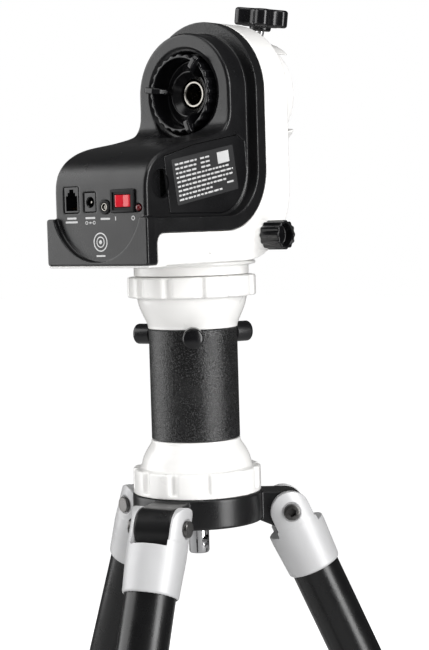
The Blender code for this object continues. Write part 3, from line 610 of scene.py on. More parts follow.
def front_cover():
    band_inner = SPLIT_RADIUS - BAND
    turn = (BASE_FRONT_Y + BAND_END_RADIUS, SPLIT_Z - BAND_END_RADIUS)
    buried = 5.0
    # The band reaches back into the casting while its edges are rounded, and is then trimmed to the joint.
    front = arc(SPLIT_CENTRE, band_inner, -90, 0, 28) + [(SPLIT_CENTRE[0] + band_inner, ABOVE_ARM)]
    side = [(SPLIT_Y + buried, ABOVE_ARM)] + arc(SPLIT_CENTRE, SPLIT_RADIUS + buried, 0, -90, 28)
    side += [(BASE_FRONT_Y - 2, SPLIT_Z - buried), (BASE_FRONT_Y - 2, SPLIT_Z + BAND)] + front
    band = soften(keep_inside(hull(), slab(side, -70, 70, "X")), 2.6, 4, 50)
    trim = [(SPLIT_Y - GAP, ABOVE_ARM + 9)] + arc(SPLIT_CENTRE, SPLIT_RADIUS - GAP, 0, -90, 32)
    trim += arc(turn, BAND_END_RADIUS + GAP, 90, 180, 8) + [(-120, turn[1]), (-120, ABOVE_ARM + 9)]
    keep_inside(band, slab(trim, -75, 75, "X"))

    tier_side = [(17, 26), (17, 160), (BOSS_FACE_Y, 160)]
    tier_side += flowing([(BOSS_FACE_Y, 104)] + NOSE + [(PANEL_Y, 48)])
    tier_side += [(PANEL_Y, 5), (-83.7, 5), (-83.7, 26)]
    tier = keep_inside(slab(tier_side, -60, 60, "X"), slab(arch(TIER_HALF, -5), -100, 60, "Y"))
    soften(tier, 2.0, 4, 50)
    corners = rectangle(-CRADLE_HALF, GAP, CRADLE_HALF, CRADLE_TOP_Z)
    cradle = slab(rounded(corners, 1.8), CRADLE_FRONT_Y, -83.4, "Y", 0.8)
    cover = join(band, tier, cradle)

    inner = [(17, 20), (17, 86.5), (-5.8, 86.5)] + NOSE[2:] + [(PANEL_Y, 48), (PANEL_Y, 20)]
    half = TIER_HALF - CASTING_WALL
    floor = -RECESS_FLOOR_Y
    sweep = BLADE_REACH + 0.7
    steps = [(0, 20), (sweep + 1.2, 20), (sweep + 1.2, 3.0), (sweep, 1.8), (RECESS_RADIUS, 1.4)]
    steps += [(RECESS_RADIUS, floor), (14, floor), (14, -30), (0, -30)]
    # The fingernail dip is deepest under the door's edge.
    dip = Matrix.Translation((TIER_HALF, -72.5, 52)) @ Matrix.Rotation(math.radians(17), 4, "Z") @ along("+X")
    cut(
        cover,
        room(),
        slab(shrink(inner, CASTING_WALL), -half, half, "X"),
        rod(CRADLE_SCOOP_RADIUS, -PANEL_Y, 100, along("-Y", (0, 0, CRADLE_SCOOP_Z)), 160),
        lathe(steps, along("-Y", (0, 0, ALT_AXIS_Z)), 128),
        slab(DOOR, TIER_HALF - 2.3, TIER_HALF + 2, "X"),
        slab(shrink(DOOR, 3), TIER_HALF - 10, TIER_HALF, "X"),
        rod(9.4, -3.0, 9, dip),
        rod(4.2, 80, 92, along("-Y", (SNAP_PLACE[0], 0, SNAP_PLACE[1]))),
        rod(2.5, 82, 92, along("-Y", (LED_PLACE[0], 0, LED_PLACE[1]))),
    )
    for x, z, width, height in (HAND_CONTROL, POWER, SWITCH):
        cut(cover, block((x - width / 2, -92, z - height / 2), (x + width / 2, -80, z + height / 2)))
    mesh = settle(moulded(cover, 0.6, 4, 0.4))
    paints = [SATIN, TEXTURED]
    cover = show("front_cover_shell", mesh, "head", paints, ["front_cover"], crease=0)
    for face in cover.data.polygons:
        x, y, z = (face.center - ORIGIN) / MM
        outside = TIER_HALF + 0.15
        beyond_arch = math.hypot(x, z - ALT_AXIS_Z) > outside if z > ALT_AXIS_Z else abs(x) > outside
        face.material_index = 1 if beyond_arch and y > -83 else 0


def battery_door():
    door = slab(shrink(DOOR, GAP), TIER_HALF - 2, TIER_HALF, "X", 0.35)
    cut(door, rod(8.2, TIER_HALF - 1, TIER_HALF + 3, along("+X", (0, -74.5, 52))))
    show("battery_door_panel", settle(door), "battery_door", SATIN, ["battery_door"])
    tilt = Matrix.Translation(LABEL_PLACE) @ Matrix.Rotation(LABEL_TILT, 4, "X")
    half_width, half_height = LABEL_HALF
    outline = rounded(rectangle(-half_width, -half_height, half_width, half_height), 1.2)
    film = slab(outline, 0.05, LABEL_FACE, "X", 0.08, tilt)
    show("rating_label_film", settle(film), "battery_door", LABEL, ["rating_label"])

    def mark(left, bottom, width, height):
        corners = rectangle(left, bottom, left + width, bottom + height)
        corners = rounded(corners, min(0.4, height * 0.3), steps=2)
        return slab(corners, LABEL_FACE, LABEL_FACE + 0.06, "X", 0, tilt)

    marks = []
    for line, end in enumerate(LINE_ENDS):
        left = -29.0
        bottom = FIRST_LINE - line * LINE_PITCH
        while left < end:
            width = SEED.uniform(2.0, 5.4)
            marks.append(mark(left, bottom, min(width, end - left + 1), LINE_HEIGHT))
            left += width + 0.9
    for bottom in (10.6, 7.7, 4.8):
        marks += [mark(x, bottom, 4.2, LINE_HEIGHT) for x in (-3.5, 1.6)]
    marks += [mark(14.0, 4.7, 12.0, 7.6), mark(20.5, -9.4, 7.0, 1.2)]
    show("label_marks", merged(marks), "battery_door", PRINT)


def panel_parts():
    x, z = HAND_CONTROL[:2]
    socket = slab(
        rounded(rectangle(x - 6.55, z - 8.4, x + 6.55, z + 8.4), 0.5),
        -88.3, -74, "Y", 0.35,
    )
    cut(
        socket,
        block((x - 5.2, -90, z - 7.2), (x + 5.2, -76, z + 2.6)),
        block((x - 3.5, -90, z - 1), (x + 3.5, -76, z + 4.8)),
        block((x - 1.9, -90, z), (x + 1.9, -76, z + 6.9)),
    )
    show("hand_control_jack", settle(socket), "head", GLOSS, ["hand_control_socket"])
    wires = []
    for i in range(CONTACTS):
        middle = x + (i - (CONTACTS - 1) / 2) * CONTACT_PITCH
        wire = [(-77.0, z - 6.7), (-84.5, z - 6.4), (-86.0, z - 5.7)]
        wire += [(-84.0, z - 5.1), (-77.0, z - 3.3), (-76.4, z - 3.7)]
        wires.append(slab(wire, middle - 0.22, middle + 0.22, "X"))
    show("jack_contacts", merged(wires), "head", GOLD)

    x, z = POWER[:2]
    corners = rectangle(x - 5.1, z - 6.2, x + 5.1, z + 6.2)
    power = slab(rounded(corners, 0.7), -88.3, -75, "Y", 0.35)
    well = [(0, 92), (3.7, 92), (3.7, 88.2), (3.1, 87.6), (3.1, 77.0), (0, 77.0)]
    cut(power, lathe(well, along("-Y", (x, 0, z)), 48))
    show("power_jack", settle(power), "head", GLOSS, ["power_socket"])
    pin = [(0, 87.2), (0.7, 87.0), (1.0, 86.4), (1.0, 76.0), (0, 76.0)]
    show("power_pin", settle(lathe(pin, along("-Y", (x, 0, z)), 32)), "head", STEEL)

    snap = along("-Y", (SNAP_PLACE[0], 0, SNAP_PLACE[1]))
    ring = [(2.8, 88.8), (4.5, 88.8), (4.6, 89.2), (4.2, 89.7), (3.3, 89.8), (2.8, 89.4)]
    show("snap_jack_ring", settle(lathe(ring, snap, 64, ring=True)), "head", BEZEL)
    sleeve = [(1.9, 79), (2.6, 79), (2.6, 89.5), (2.45, 89.7), (2.1, 89.7), (1.9, 89.4)]
    mesh = settle(lathe(sleeve, snap, 64, ring=True))
    show("snap_jack_sleeve", mesh, "head", STEEL, ["snap_socket"])
    depths = [(0, 79.5), (1.8, 79.5), (1.8, 83.4), (1.2, 83.0), (0, 82.6)]
    show("snap_jack_depths", settle(lathe(depths, snap, 32)), "head", BEZEL)
    contact = [(0.45, 83.6), (1.15, 83.6), (1.15, 88.4), (1.0, 88.7), (0.6, 88.7), (0.45, 88.4)]
    show("snap_jack_contact", settle(lathe(contact, snap, 48, ring=True)), "head", STEEL)
    dome = [(0, 90.1)] + [(2.1 * math.sin(a), 88.6 + 1.5 * math.cos(a)) for a in (0.3, 0.6, 0.9, 1.2, 1.45)]
    dome += [(2.1, 88.4), (2.1, 82.6), (0, 82.6)]
    lens = lathe(dome, along("-Y", (LED_PLACE[0], 0, LED_PLACE[1])), 40)
    show("power_light", settle(lens), "head", RED_LENS, ["power_led"])

    x, z = SWITCH[:2]
    face = rounded(rectangle(x - 10.4, z - 7.5, x + 10.4, z + 7.5), 1.0)
    bezel = slab(face, -90.2, -88.75, "Y", 0.45)
    join(bezel, block((x - 9.3, -89.5, z - 6.3), (x + 9.3, -77.5, z + 6.3)))
    cut(bezel, block((x - 8.5, -92, z - 5.7), (x + 8.5, -89.5, z + 5.7)))
    cut(bezel, block((x - 6.9, -92, z - 4.3), (x + 6.9, -79, z + 4.3)))
    show("switch_surround", settle(bezel), "head", BEZEL, ["switch_bezel"])
    outline = [(-6.3, -3.3), (0, -2.0), (6.3, -3.3), (5.4, 3.0), (-5.4, 3.0)]
    place = Matrix.Translation((x, -87.2, z)) @ Matrix.Rotation(math.radians(9), 4, "Z")
    rocker = slab(rounded(outline, 1.4, steps=6), -3.9, 3.9, "Z", 0.4, place)
    show("switch_button", settle(rocker), "rocker", RED, ["switch_rocker"])
    panel_marks()


def bar(x, z, width, height):
    """A printed bar on the panel, standing a hair proud of it."""
    corners = rectangle(x - width / 2, z - height / 2, x + width / 2, z + height / 2)
    return slab(rounded(corners, height * 0.3, steps=2), PANEL_Y - PRINT_RISE, PANEL_Y + PRINT_ROOT, "Y")


def printed_ring(x, z, outer, inner):
    profile = rectangle(inner, -PANEL_Y - PRINT_ROOT, outer, -PANEL_Y + PRINT_RISE)
    return lathe(profile, along("-Y", (x, 0, z)), 48, ring=True)


def panel_marks():
    """Plain generic signs under the sockets, and a plain target in the cradle's scoop."""
    x = HAND_CONTROL[0]
    marks = [bar(x, 31.4, 8.6, 1.3), bar(x - 0.2, 28.9, 11.0, 1.3)]
    x = POWER[0]
    marks += [bar(x, 31.4, 8.8, 1.3), bar(x, 28.3, 3.6, 0.45)]
    marks += [printed_ring(x - 3.4, 28.3, 1.2, 0.75), printed_ring(x + 3.4, 28.3, 1.2, 0.75)]
    marks += [printed_ring(x, 28.3, 0.7, 0.25)]
    marks += [bar(SNAP_PLACE[0] - 0.2, 30.6, 8.4, 1.3)]
    marks += [bar(SWITCH[0] - 7.2, 30.6, 0.8, 2.6), printed_ring(SWITCH[0] + 8.2, 30.6, 1.5, 0.9)]
    show("panel_signs", merged(marks), "head", GREY_PRINT)
    sign = [printed_ring(0, 15.6, outer, inner) for outer, inner in ((6.2, 5.4), (3.6, 2.9), (1.3, 0.15))]
    sign += [bar(0, 6.6, 8.0, 1.1)]
    show("radio_sign", merged(sign), "head", GREY_PRINT)


def altitude_parts():
    centre = (0, 0, ALT_AXIS_Z)
    end = SADDLE_FRONT_Y + 8
    profile = [(0, -40), (SHAFT_BORE_RADIUS, -40), (SHAFT_BORE_RADIUS, -8.6), (SHAFT_BORE_RADIUS + 0.6, -8.0)]
    profile += [(SHAFT_RADIUS - 0.4, -8.0), (SHAFT_RADIUS, -8.4), (SHAFT_RADIUS, -end), (0, -end)]
    shaft = lathe(profile, along("-Y", centre), 96)
    show("hollow_shaft", settle(shaft), "altitude", STEEL, ["altitude_shaft"])

    rim = lobed(26.1, 0.6, 24, 10, 1.5)
    wheel = slab(rim, -7.1, 9.6, "Y", 0.8, Matrix.Translation(centre))
    dish = rounded([(24.3, 20), (24.0, 3.0), (23.4, -7.8), (12, -7.8)], 1.2, closed=False)
    cut(wheel, lathe([(0, 20)] + dish + [(0, -7.8)], along("-Y", centre)))
    hub = rounded([(16.4, -8.6), (16.0, -2.6), (14.8, -2.9), (10.4, -7.4), (10.4, -8.6)], 0.6)
    join(wheel, lathe(hub, along("-Y", centre), ring=True))
    for turn in BLADE_TURNS:
        spin = Matrix.Translation(centre) @ Matrix.Rotation(-math.radians(turn), 4, "Y")
        tip = [(BLADE_REACH - 2, -11.2), (BLADE_REACH, -9.6), (BLADE_REACH, -7.2), (26, -5.4)]
        blade = rounded([(14.6, -1.5), (17.5, -7.6), (21, -11.2), *tip, (26, 8.8), (14.6, 8.8)], 1.8)
        join(wheel, slab(blade, -2.1, 2.1, "Z", 0.9, spin))
    cut(wheel, rod(10.4, -12, -1, along("-Y", centre)))
    mesh = settle(moulded(wheel, 0.34, 3, 0.5))
    show("clutch_hand_wheel", mesh, "clutch_wheel", GLOSS, ["altitude_clutch_wheel"], crease=0)


def saddle_parts():
    tilt = Matrix.Translation((0, 0, ALT_AXIS_Z)) @ Matrix.Rotation(SADDLE_TILT, 4, "Y")
    front, back = SADDLE_FRONT_Y, SADDLE_BACK_Y
    outline = [(SADDLE_RADIUS, -front), (SADDLE_RADIUS, -back)]
    profile = rounded([(0, -front), *outline, (0, -back)], 2.2, closed=False)
    body = lathe(profile, tilt @ along("-Y"), 128)
    channel = [(CHANNEL_FLOOR_Y, -22.3), (back + 1, -19.2), (back + 1, 32), (CHANNEL_FLOOR_Y, 32)]
    cut(
        body,
        rod(SHAFT_RADIUS + GAP, -front - 8.4, -40, tilt @ along("-Y")),
        slab(channel, -50, 50, "X", 0, tilt),
        rod(3.4, 20, 60, tilt @ Matrix.Translation((0, STAR_KNOB_Y, 0)), 32),
    )
    mesh = settle(moulded(body, 0.7, 5, 0.5))
    show("saddle_clamp_body", mesh, "altitude", WHITE, ["saddle_body"], crease=0)
    foot = CHANNEL_FLOOR_Y + GAP
    outline = rounded([(foot, 20.3), (back, 17.4), (back, 24.6), (foot, 24.6)], 0.8)
    jaw = slab(outline, -19, 19, "X", 0.6, tilt)
    cut(jaw, rod(3.4, 10, 40, tilt @ Matrix.Translation((0, STAR_KNOB_Y, 0)), 32))
    show("dovetail_jaw", settle(jaw), "jaw", HUB_BLACK, ["saddle_jaw"])
    knob_frame = tilt @ Matrix.Translation((0, STAR_KNOB_Y, 0))
    knob = slab(lobed(16.6, 2.9, 5, 28, 1.5, math.radians(-49)), 50.5, 63, "Z", 2.0, knob_frame)
    join(knob, lathe([(0, 55), (8, 55), (7.6, 48.2), (6.8, 47.4), (0, 47.4)], knob_frame, 64))
    cut(knob, lathe([(0, 70), (6.4, 70), (6.4, 62.6), (5.4, 61.4), (0, 61.2)], knob_frame, 64))
    mesh = settle(moulded(knob, 0.42, 4, 0.5))
    show("saddle_hand_knob", mesh, "star_knob", GLOSS, ["saddle_star_knob"], crease=0)
    screw = [(0, 20.8), (2.5, 20.8)]
    for turn in range(24):
        screw += [(3.0, 21.3 + turn), (2.6, 21.8 + turn)]
    screw += [(3.0, 45.4), (3.0, 47.2), (0, 47.2)]
    show("saddle_knob_screw", settle(lathe(screw, knob_frame, 48)), "star_knob", CHROME)


def lock_knob():
    place = (0, LOCK_KNOB_Y, LOCK_KNOB_Z)
    knob = slab(lobed(9.45, 0.45, 12, 12, 1.6), 54.5, 70.5, "X", 0.8, Matrix.Translation(place))
    hollow = [(0, 64), (6.8, 64), (7.2, 64.6), (7.2, 69.4), (7.9, 70.4), (7.9, 80), (0, 80)]
    cut(knob, lathe(hollow, along("+X", place), 64))
    stem = [(0, 58), (5.6, 58), (5.6, 54.3), (3.0, 53.9), (3.0, 38), (0, 38)]
    join(knob, lathe(stem, along("+X", place), 48))
    mesh = settle(moulded(knob, 0.27, 3, 0.5))
    show("azimuth_hand_knob", mesh, "azimuth_lock", GLOSS, ["azimuth_lock_knob"], crease=0)


# ---- pillar ----
def grip_disc(low, high):
    """A disc with broad lobes round its edge and a scooped groove between each two."""
    outline = []
    for i in range(GRIP_LOBES):
        middle = 360 * i / GRIP_LOBES + 4
        outline += arc((0, 0), ADAPTER_RING_RADIUS, middle - 10.2, middle + 10.2, 8)
        outline += arc((0, 0), ADAPTER_RING_RADIUS - GRIP_DEPTH, middle + 13.6, middle + 16.4, 2)
    return slab(rounded(outline, 1.6, steps=3), low, high, "Z", 1.0)


def pillar():
    base = [(0, 26), (9, 26), (9, 5), (14, 5), (14, -GAP), (44.4, -GAP), (44.4, -2.3), (39.6, -3.4),
            (39.6, ADAPTER_TOP_Z + GAP), (5.3, ADAPTER_TOP_Z + GAP), (5.3, 5), (0, 5)]
    turntable = lathe(base[:1] + rounded(base[1:-1], 0.7, closed=False) + base[-1:], steps=160)
    show("turntable", settle(turntable), "stand", WHITE, ["azimuth_base"])

    top = ADAPTER_TOP_Z
    flare = flowing([(38.2, -23), (36.9, -29.4), (34.6, -35.4), (32.4, -40.2), (ADAPTER_LIP_RADIUS, -43.8)])
    lip = TUBE_TOP_Z + GAP
    upper = [(0, top), (38.6, top)] + flare + [(ADAPTER_LIP_RADIUS, lip), (SPIGOT_RADIUS, lip)]
    adapter = lathe(upper + [(SPIGOT_RADIUS, -76), (0, -76)], steps=160)
    join(adapter, grip_disc(-24, top - 0.4))
    hollow = [(0, 0), (5.3, 0), (5.3, -14.5), (33, -14.5), (24, -46), (24, -80), (0, -80)]
    mesh = settle(moulded(cut(adapter, lathe(hollow)), 0.7, 4, 0.5))
    show("upper_pillar_flange", mesh, "stand", WHITE, ["pillar_upper_adapter"], crease=0)
    bolt = [(0, 4), (4.2, 4), (4.7, 3.4), (4.7, -15), (10, -15), (10, -23.4), (9.4, -24), (0, -24)]
    show("head_screw", settle(lathe(bolt, steps=48)), "stand", STEEL, ["head_clamp_screw"])

    lip = TUBE_BOTTOM_Z - GAP
    curve = [(ADAPTER_LIP_RADIUS, -124.4), (32.8, -127.4), (35.2, -131.2), (37.4, -136.4), (38.6, -143)]
    flare = flowing(curve)
    lower = [(0, -97), (SPIGOT_RADIUS, -97), (SPIGOT_RADIUS, lip), (ADAPTER_LIP_RADIUS, lip)]
    lower += flare + [(38.6, -156), (44.2, -156.6), (44.2, HUB_TOP_Z + GAP), (0, HUB_TOP_Z + GAP)]
    adapter = lathe(lower, steps=160)
    join(adapter, grip_disc(-157, -142))
    hollow = [(0, -90), (24, -90), (24, -122), (34, -141), (34, -151), (5.3, -151), (5.3, -170), (0, -170)]
    mesh = settle(moulded(cut(adapter, lathe(hollow)), 0.7, 4, 0.5))
    show("lower_pillar_flange", mesh, "stand", WHITE, ["pillar_lower_adapter"], crease=0)

    inner = SPIGOT_RADIUS + GAP
    edge = 0.6
    wall = [(inner, TUBE_TOP_Z), (TUBE_RADIUS - edge, TUBE_TOP_Z), (TUBE_RADIUS, TUBE_TOP_Z - edge)]
    wall += [(TUBE_RADIUS, TUBE_BOTTOM_Z + edge), (TUBE_RADIUS - edge, TUBE_BOTTOM_Z), (inner, TUBE_BOTTOM_Z)]
    tube = lathe(wall, steps=192, ring=True)
    head = [(0, 46.4)] + arc((0, 33.4), 13.0, 85, 69, 4) + arc((4.85, 43.1), 2.3, 60, 0, 6)
    head += [(7.15, 32.8), (6.6, 32.2), (2.5, 31.8), (2.5, 27.4), (0, 27.4)]
    for number, angle in enumerate(PILLAR_SCREW_ANGLES, 1):
        heading = Matrix.Rotation(math.radians(angle), 4, "Z")
        turn = Matrix.Translation((0, 0, PILLAR_SCREW_Z)) @ heading @ along("+X")
        cut(tube, rod(2.9, 20, 40, turn, 32))
        screw = settle(lathe(head, turn, 48))
        body, node = f"thumbscrew_{number}", f"pillar_thumbscrew_{number}"
        show(f"domed_screw_{number}", screw, body, GLOSS, [node])
    show("pillar_tube_coated", settle(tube), "stand", POWDER, ["pillar_tube"])


# ---- tripod ----
def hub():
    edge = 1.4
    outline = [(HUB_RADIUS, HUB_TOP_Z), (HUB_RADIUS, HUB_BOTTOM_Z)]
    outline += [(34, HUB_BOTTOM_Z), (34, -171), (5.4, -171)]
    body = lathe(rounded([(5.4, HUB_TOP_Z), *outline], edge), steps=160, ring=True)
    for angle in LEG_ANGLES:
        turn = Matrix.Rotation(math.radians(angle), 4, "Z")
        side = [(38, HUB_TOP_Z - 1), (PIVOT_OUT, HUB_TOP_Z - 1.6)]
        side += arc((PIVOT_OUT, PIVOT_Z), LUG_RADIUS, 80, -90, 20) + [(52, -185.2), (38, -178.8)]
        half = LUG_WIDTH / 2
        join(body, slab(side, -half, half, "Y", 0.8, turn))
        cut(body, rod(4.3, -20, 20, turn @ along("-Y", (PIVOT_OUT, 0, PIVOT_Z)), 32))
    mesh = settle(moulded(body, 0.65, 3, 0.5))
    show("tripod_hub_casting", mesh, "stand", HUB_BLACK, ["tripod_hub"], crease=0)

    profile = [(0, -144), (4.4, -144), (4.8, -144.4), (4.8, -179), (6.4, -179), (7.1, -179.7), (7.1, -201.3),
               (6.4, -202.5), (5.6, -202.7), (0, -202.7)]
    screw = lathe(profile, steps=64)
    cut(screw, rod(3.7, -20, 20, along("+X", (0, 0, -193.5)), 48))
    show("hub_screw", settle(screw), "clamp_screw", CHROME, ["pillar_clamp_screw"])


def clevis():
    cup = [(0, -10.5), (20.2, -10.5), (20.2, -20), (18.9, -44.6)]
    cup += [(18.2, -46), (17.3, -46), (17.3, -20), (0, -20)]
    body = lathe(cup[:1] + rounded(cup[1:-1], 1.2, closed=False) + cup[-1:], steps=96)
    ear_low, ear_high = LUG_WIDTH / 2 + GAP, 18.8
    side = [(14, -20)] + arc((0, 0), 14, 0, 180, 40) + [(-14, -20)]
    ears = keep_inside(rod(20.0, -20, 20, steps=96), slab(side, -21, 21, "Y"))
    join(body, soften(ears, 0.8, 3, 60))
    seat = [(0, ear_high + 5), (6.6, ear_high + 5), (6.6, ear_high - 0.4), (0, ear_high - 0.4)]
    cut(
        body,
        block((-30, -ear_low, -14.4), (30, ear_low, 20)),
        rod(4.3, -30, 30, along("-Y"), 32),
        lathe(seat, along("-Y"), 48),
        lathe(seat, along("+Y"), 48),
    )
    return settle(moulded(body, 0.5, 3, 0.5))


def leg_meshes():
    """The pieces of one leg, in a frame at its pivot: X outwards, Y along the pivot, Z up the leg."""
    bolt = [(0, 21.8), (4.9, 21.8), (5.4, 21.6), (5.6, 21.1), (5.6, 18.9), (4, 18.9)]
    bolt += [(4, -18.9), (5.6, -18.9), (5.6, -21.1), (5.2, -21.6), (0, -21.6)]
    pin = lathe(bolt, along("-Y"), 64)
    hexagon = [(3.0 * math.cos(a), 3.0 * math.sin(a)) for a in (math.radians(60 * i) for i in range(6))]
    cut(pin, slab(hexagon, 19.4, 30, "Z", 0, along("-Y")))
    inner = LEG_RADIUS - 1.5
    wall = [(inner, -20.3), (LEG_RADIUS, -20.3), (LEG_RADIUS, UPPER_LEG_END), (inner, UPPER_LEG_END)]
    upper = lathe(wall, steps=128, ring=True)

    top, stop, low = UPPER_LEG_END + 16, UPPER_LEG_END - GAP, UPPER_LEG_END - 30
    bore, lower_bore = LEG_RADIUS + GAP, LOWER_LEG_RADIUS + GAP
    profile = [(bore, top), (19.6, top), (20.4, top - 2), (20.4, low + 8), (18.4, low), (lower_bore, low),
               (lower_bore, stop), (bore, stop)]
    collar = lathe(rounded(profile, 0.9), steps=96, ring=True)
    screw_place = (0, 0, UPPER_LEG_END - 15)
    boss = [(0, 25), (6.5, 25), (8, 17), (8, 15.5), (0, 15.5)]
    join(collar, lathe(boss, along("+X", screw_place), 48))
    cut(collar, rod(3.3, 5, 30, along("+X", screw_place), 32))
    moulded(collar, 0.55, 3, 0.5)
    knob = slab(lobed(9.5, 1.8, 5, 20, 1.4), 26, 36, "X", 1.4, Matrix.Translation(screw_place))
    tip = LOWER_LEG_RADIUS + 0.5
    join(knob, lathe([(0, 30), (3, 30), (3, tip), (0, tip)], along("+X", screw_place), 32))

    outer, inner = LOWER_LEG_RADIUS, LOWER_LEG_RADIUS - 1.3
    end = -LEG_REACH + 10
    lower = lathe([(inner, -80), (outer, -80), (outer, end), (inner, end)], steps=96, ring=True)
    sole = [(0, end - GAP), (outer + GAP, end - GAP), (outer + GAP, end + 26)]
    sole += [(14.8, end + 26), (15.2, end + 25.4)]
    for i in range(5):
        height = end + 22 - i * 3.2
        sole += [(15.3, height), (14.5, height - 0.5), (14.5, height - 1.1), (15.4, height - 1.6)]
    sole += [(15.6, end + 2)] + arc((0, -LEG_REACH), FOOT_TIP_RADIUS, 0, -88, 12)
    sole += [(0, -LEG_REACH - FOOT_TIP_RADIUS)]
    foot = lathe(sole, steps=96)
    return {
        "pivot_screw": (settle(pin), "leg", "black_metal", BLACK_OXIDE, "leg_pivot_bolt", 32),
        "upper_tube": (settle(upper), "leg", "black_leg_tube", LEG_PAINT, "upper_leg_tube", 32),
        "lock_collar": (settle(collar), "leg", "gloss_black", GLOSS, "leg_lock_collar", 0),
        "lock_knob": (settle(knob), "leg_lock", "gloss_black", GLOSS, "leg_lock_knob", 40),
        "lower_tube": (settle(lower), "lower_leg", "silver_tube", SILVER_TUBE, "lower_leg_tube", 32),
        "rubber_foot": (settle(foot), "lower_leg", "rubber", RUBBER, "foot", 32),
        "clevis_casting": (clevis(), "leg", "cast_silver", SILVER, "leg_clevis", 0),
    }


def legs():
    meshes = leg_meshes()
    for number, angle in enumerate(LEG_ANGLES, 1):
        heading = math.radians(angle)
        place = Matrix.Translation((PIVOT_OUT * math.cos(heading), PIVOT_OUT * math.sin(heading), PIVOT_Z))
        stand = place @ Matrix.Rotation(heading, 4, "Z") @ Matrix.Rotation(-LEG_SPLAY, 4, "Y")
        for name, (mesh, body, slot, material, node, crease) in meshes.items():
            rides, stands_for = f"{body}_{number}", [f"{node}_{number}"]
            show(f"{name}_{number}", mesh, rides, material, stands_for, crease, stand)


def inner_nodes():
    """The drives and electronics inside the head keep their CAD shapes."""
    finishes = {
        STEEL: ("altitude_bearing", "altitude_motor", "altitude_worm", "azimuth_motor", "azimuth_worm"),
        BRASS: ("altitude_worm_wheel", "azimuth_worm_wheel"),
        GLOSS: ("battery_holder",),
        BOARD: ("control_board",),
    }
    for material, names in finishes.items():
        for name in names:
            mesh = NODES[name].data
            if not mesh.materials:
                mesh.materials.append(material)
            for slot in NODES[name].material_slots:
                slot.material = material


head_casting()
front_cover()
battery_door()
panel_parts()
altitude_parts()
saddle_parts()
lock_knob()
pillar()
hub()
legs()
inner_nodes()
for helper in MADE:
    bpy.data.objects.remove(helper, do_unlink=True)


# ---- camera ----
EYE_AZIMUTH = math.radians(41.0)
EYE_DISTANCE = 1.147
EYE_ABOVE_HEAD = 0.029
YAW, PITCH, ROLL = math.radians(0.75), math.radians(-3.674), math.radians(1.65)
IMAGE_HEIGHT = 650
FOCAL_PIXELS = 1663.0
SENSOR = 36.0

back = Vector((math.sin(EYE_AZIMUTH), -math.cos(EYE_AZIMUTH), 0.0))
right = Vector((math.cos(EYE_AZIMUTH), math.sin(EYE_AZIMUTH), 0.0))
ahead = (right * math.sin(YAW) - back * math.cos(YAW)) * math.cos(PITCH) + Vector((0, 0, math.sin(PITCH)))
across = ahead.cross(Vector((0, 0, 1))).normalized()
turn = Matrix((across, across.cross(ahead), -ahead)).transposed() @ Matrix.Rotation(-ROLL, 3, "Z")
camera = bpy.data.objects.new("camera", bpy.data.cameras.new("camera"))
eye = ORIGIN + back * EYE_DISTANCE + Vector((0, 0, EYE_ABOVE_HEAD))
camera.matrix_world = Matrix.Translation(eye) @ turn.to_4x4()
camera.data.sensor_fit = "VERTICAL"
camera.data.sensor_height = SENSOR
camera.data.lens = FOCAL_PIXELS / IMAGE_HEIGHT * SENSOR
bpy.context.scene.collection.objects.link(camera)
bpy.context.scene.camera = camera


# ---- studio ----
AIM_HEIGHT = 0.70


def softbox(name, azimuth, distance, height, size, power):
    """An area light facing the head from an azimuth, measured as the camera's is."""
    light = bpy.data.lights.new(name, "AREA")
    light.shape = "RECTANGLE"
    light.size, light.size_y = size
    light.energy = power
    obj = bpy.data.objects.new(name, light)
    angle = math.radians(azimuth)
    centre = Vector((ORIGIN.x, ORIGIN.y, AIM_HEIGHT))
    place = Vector((ORIGIN.x + math.sin(angle) * distance, ORIGIN.y - math.cos(angle) * distance, height))
    obj.location = place
    obj.rotation_euler = (centre - place).to_track_quat("-Z", "Y").to_euler()
    bpy.context.scene.collection.objects.link(obj)
    return obj


softbox("key_light", -58, 1.5, 1.10, (1.6, 1.9), 24)
softbox("side_light", 92, 1.5, 1.00, (0.55, 1.8), 26)
softbox("top_light", 30, 0.5, 2.3, (1.3, 1.3), 10)
softbox("soft_fill", 30, 2.2, 0.9, (2.4, 1.8), 27).visible_glossy = False
softbox("back_fill", 215, 2.0, 1.1, (1.8, 1.6), 20).visible_glossy = False

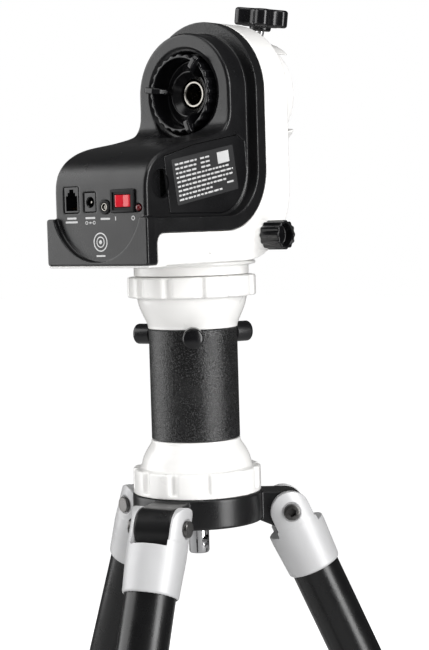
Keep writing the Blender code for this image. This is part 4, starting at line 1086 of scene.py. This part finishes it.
FLOOR_HALF = 12.0
SURROUND = 0.07  # the room's light on the object; the camera sees a white backdrop
world = bpy.data.worlds.new("studio")
world.use_nodes = True
tree = world.node_tree
seen = tree.nodes.new("ShaderNodeLightPath").outputs["Is Camera Ray"]
level = tree.nodes.new("ShaderNodeMapRange")
level.inputs["To Min"].default_value = SURROUND
level.inputs["To Max"].default_value = 1.0
tree.links.new(seen, level.inputs["Value"])
tree.links.new(level.outputs["Result"], tree.nodes["Background"].inputs["Strength"])
tree.nodes["Background"].inputs["Color"].default_value = (1.0, 1.0, 1.0, 1.0)
bpy.context.scene.world = world
bpy.context.scene.view_settings.view_transform = "Standard"

FLOOR = surface("pale_floor", (0.42, 0.42, 0.42), 0.8, shade=0.01, grain=40, bump=0.02)
FLOOR.node_tree.nodes["Principled BSDF"].inputs["Emission Color"].default_value = (1.0, 1.0, 1.0, 1.0)
floor_tree = FLOOR.node_tree
floor_place = floor_tree.nodes.new("ShaderNodeTexCoord").outputs["Object"]
floor_reach = floor_tree.nodes.new("ShaderNodeVectorMath")
floor_reach.operation = "LENGTH"
floor_tree.links.new(floor_place, floor_reach.inputs[0])
# The floor is lifted to the backdrop's white away from the object, and keeps its shadows close to it.
floor_glow = floor_tree.nodes.new("ShaderNodeMapRange")
for socket, value in (("From Min", 0.5), ("From Max", 1.7), ("To Min", 0.50), ("To Max", 1.0)):
    floor_glow.inputs[socket].default_value = value
floor_tree.links.new(floor_reach.outputs["Value"], floor_glow.inputs["Value"])
floor_seen = floor_tree.nodes.new("ShaderNodeLightPath").outputs["Is Camera Ray"]
floor_level = floor_tree.nodes.new("ShaderNodeMath")
floor_level.operation = "MULTIPLY"
floor_tree.links.new(floor_seen, floor_level.inputs[0])
floor_tree.links.new(floor_glow.outputs["Result"], floor_level.inputs[1])
floor_shader = floor_tree.nodes["Principled BSDF"]
floor_tree.links.new(floor_level.outputs["Value"], floor_shader.inputs["Emission Strength"])
bm = bmesh.new()
bmesh.ops.create_grid(bm, x_segments=8, y_segments=8, size=FLOOR_HALF)
floor_mesh = bpy.data.meshes.new("floor")
bm.to_mesh(floor_mesh)
bm.free()
floor_mesh.materials.append(FLOOR)
floor = bpy.data.objects.new("floor", floor_mesh)
bpy.context.scene.collection.objects.link(floor)
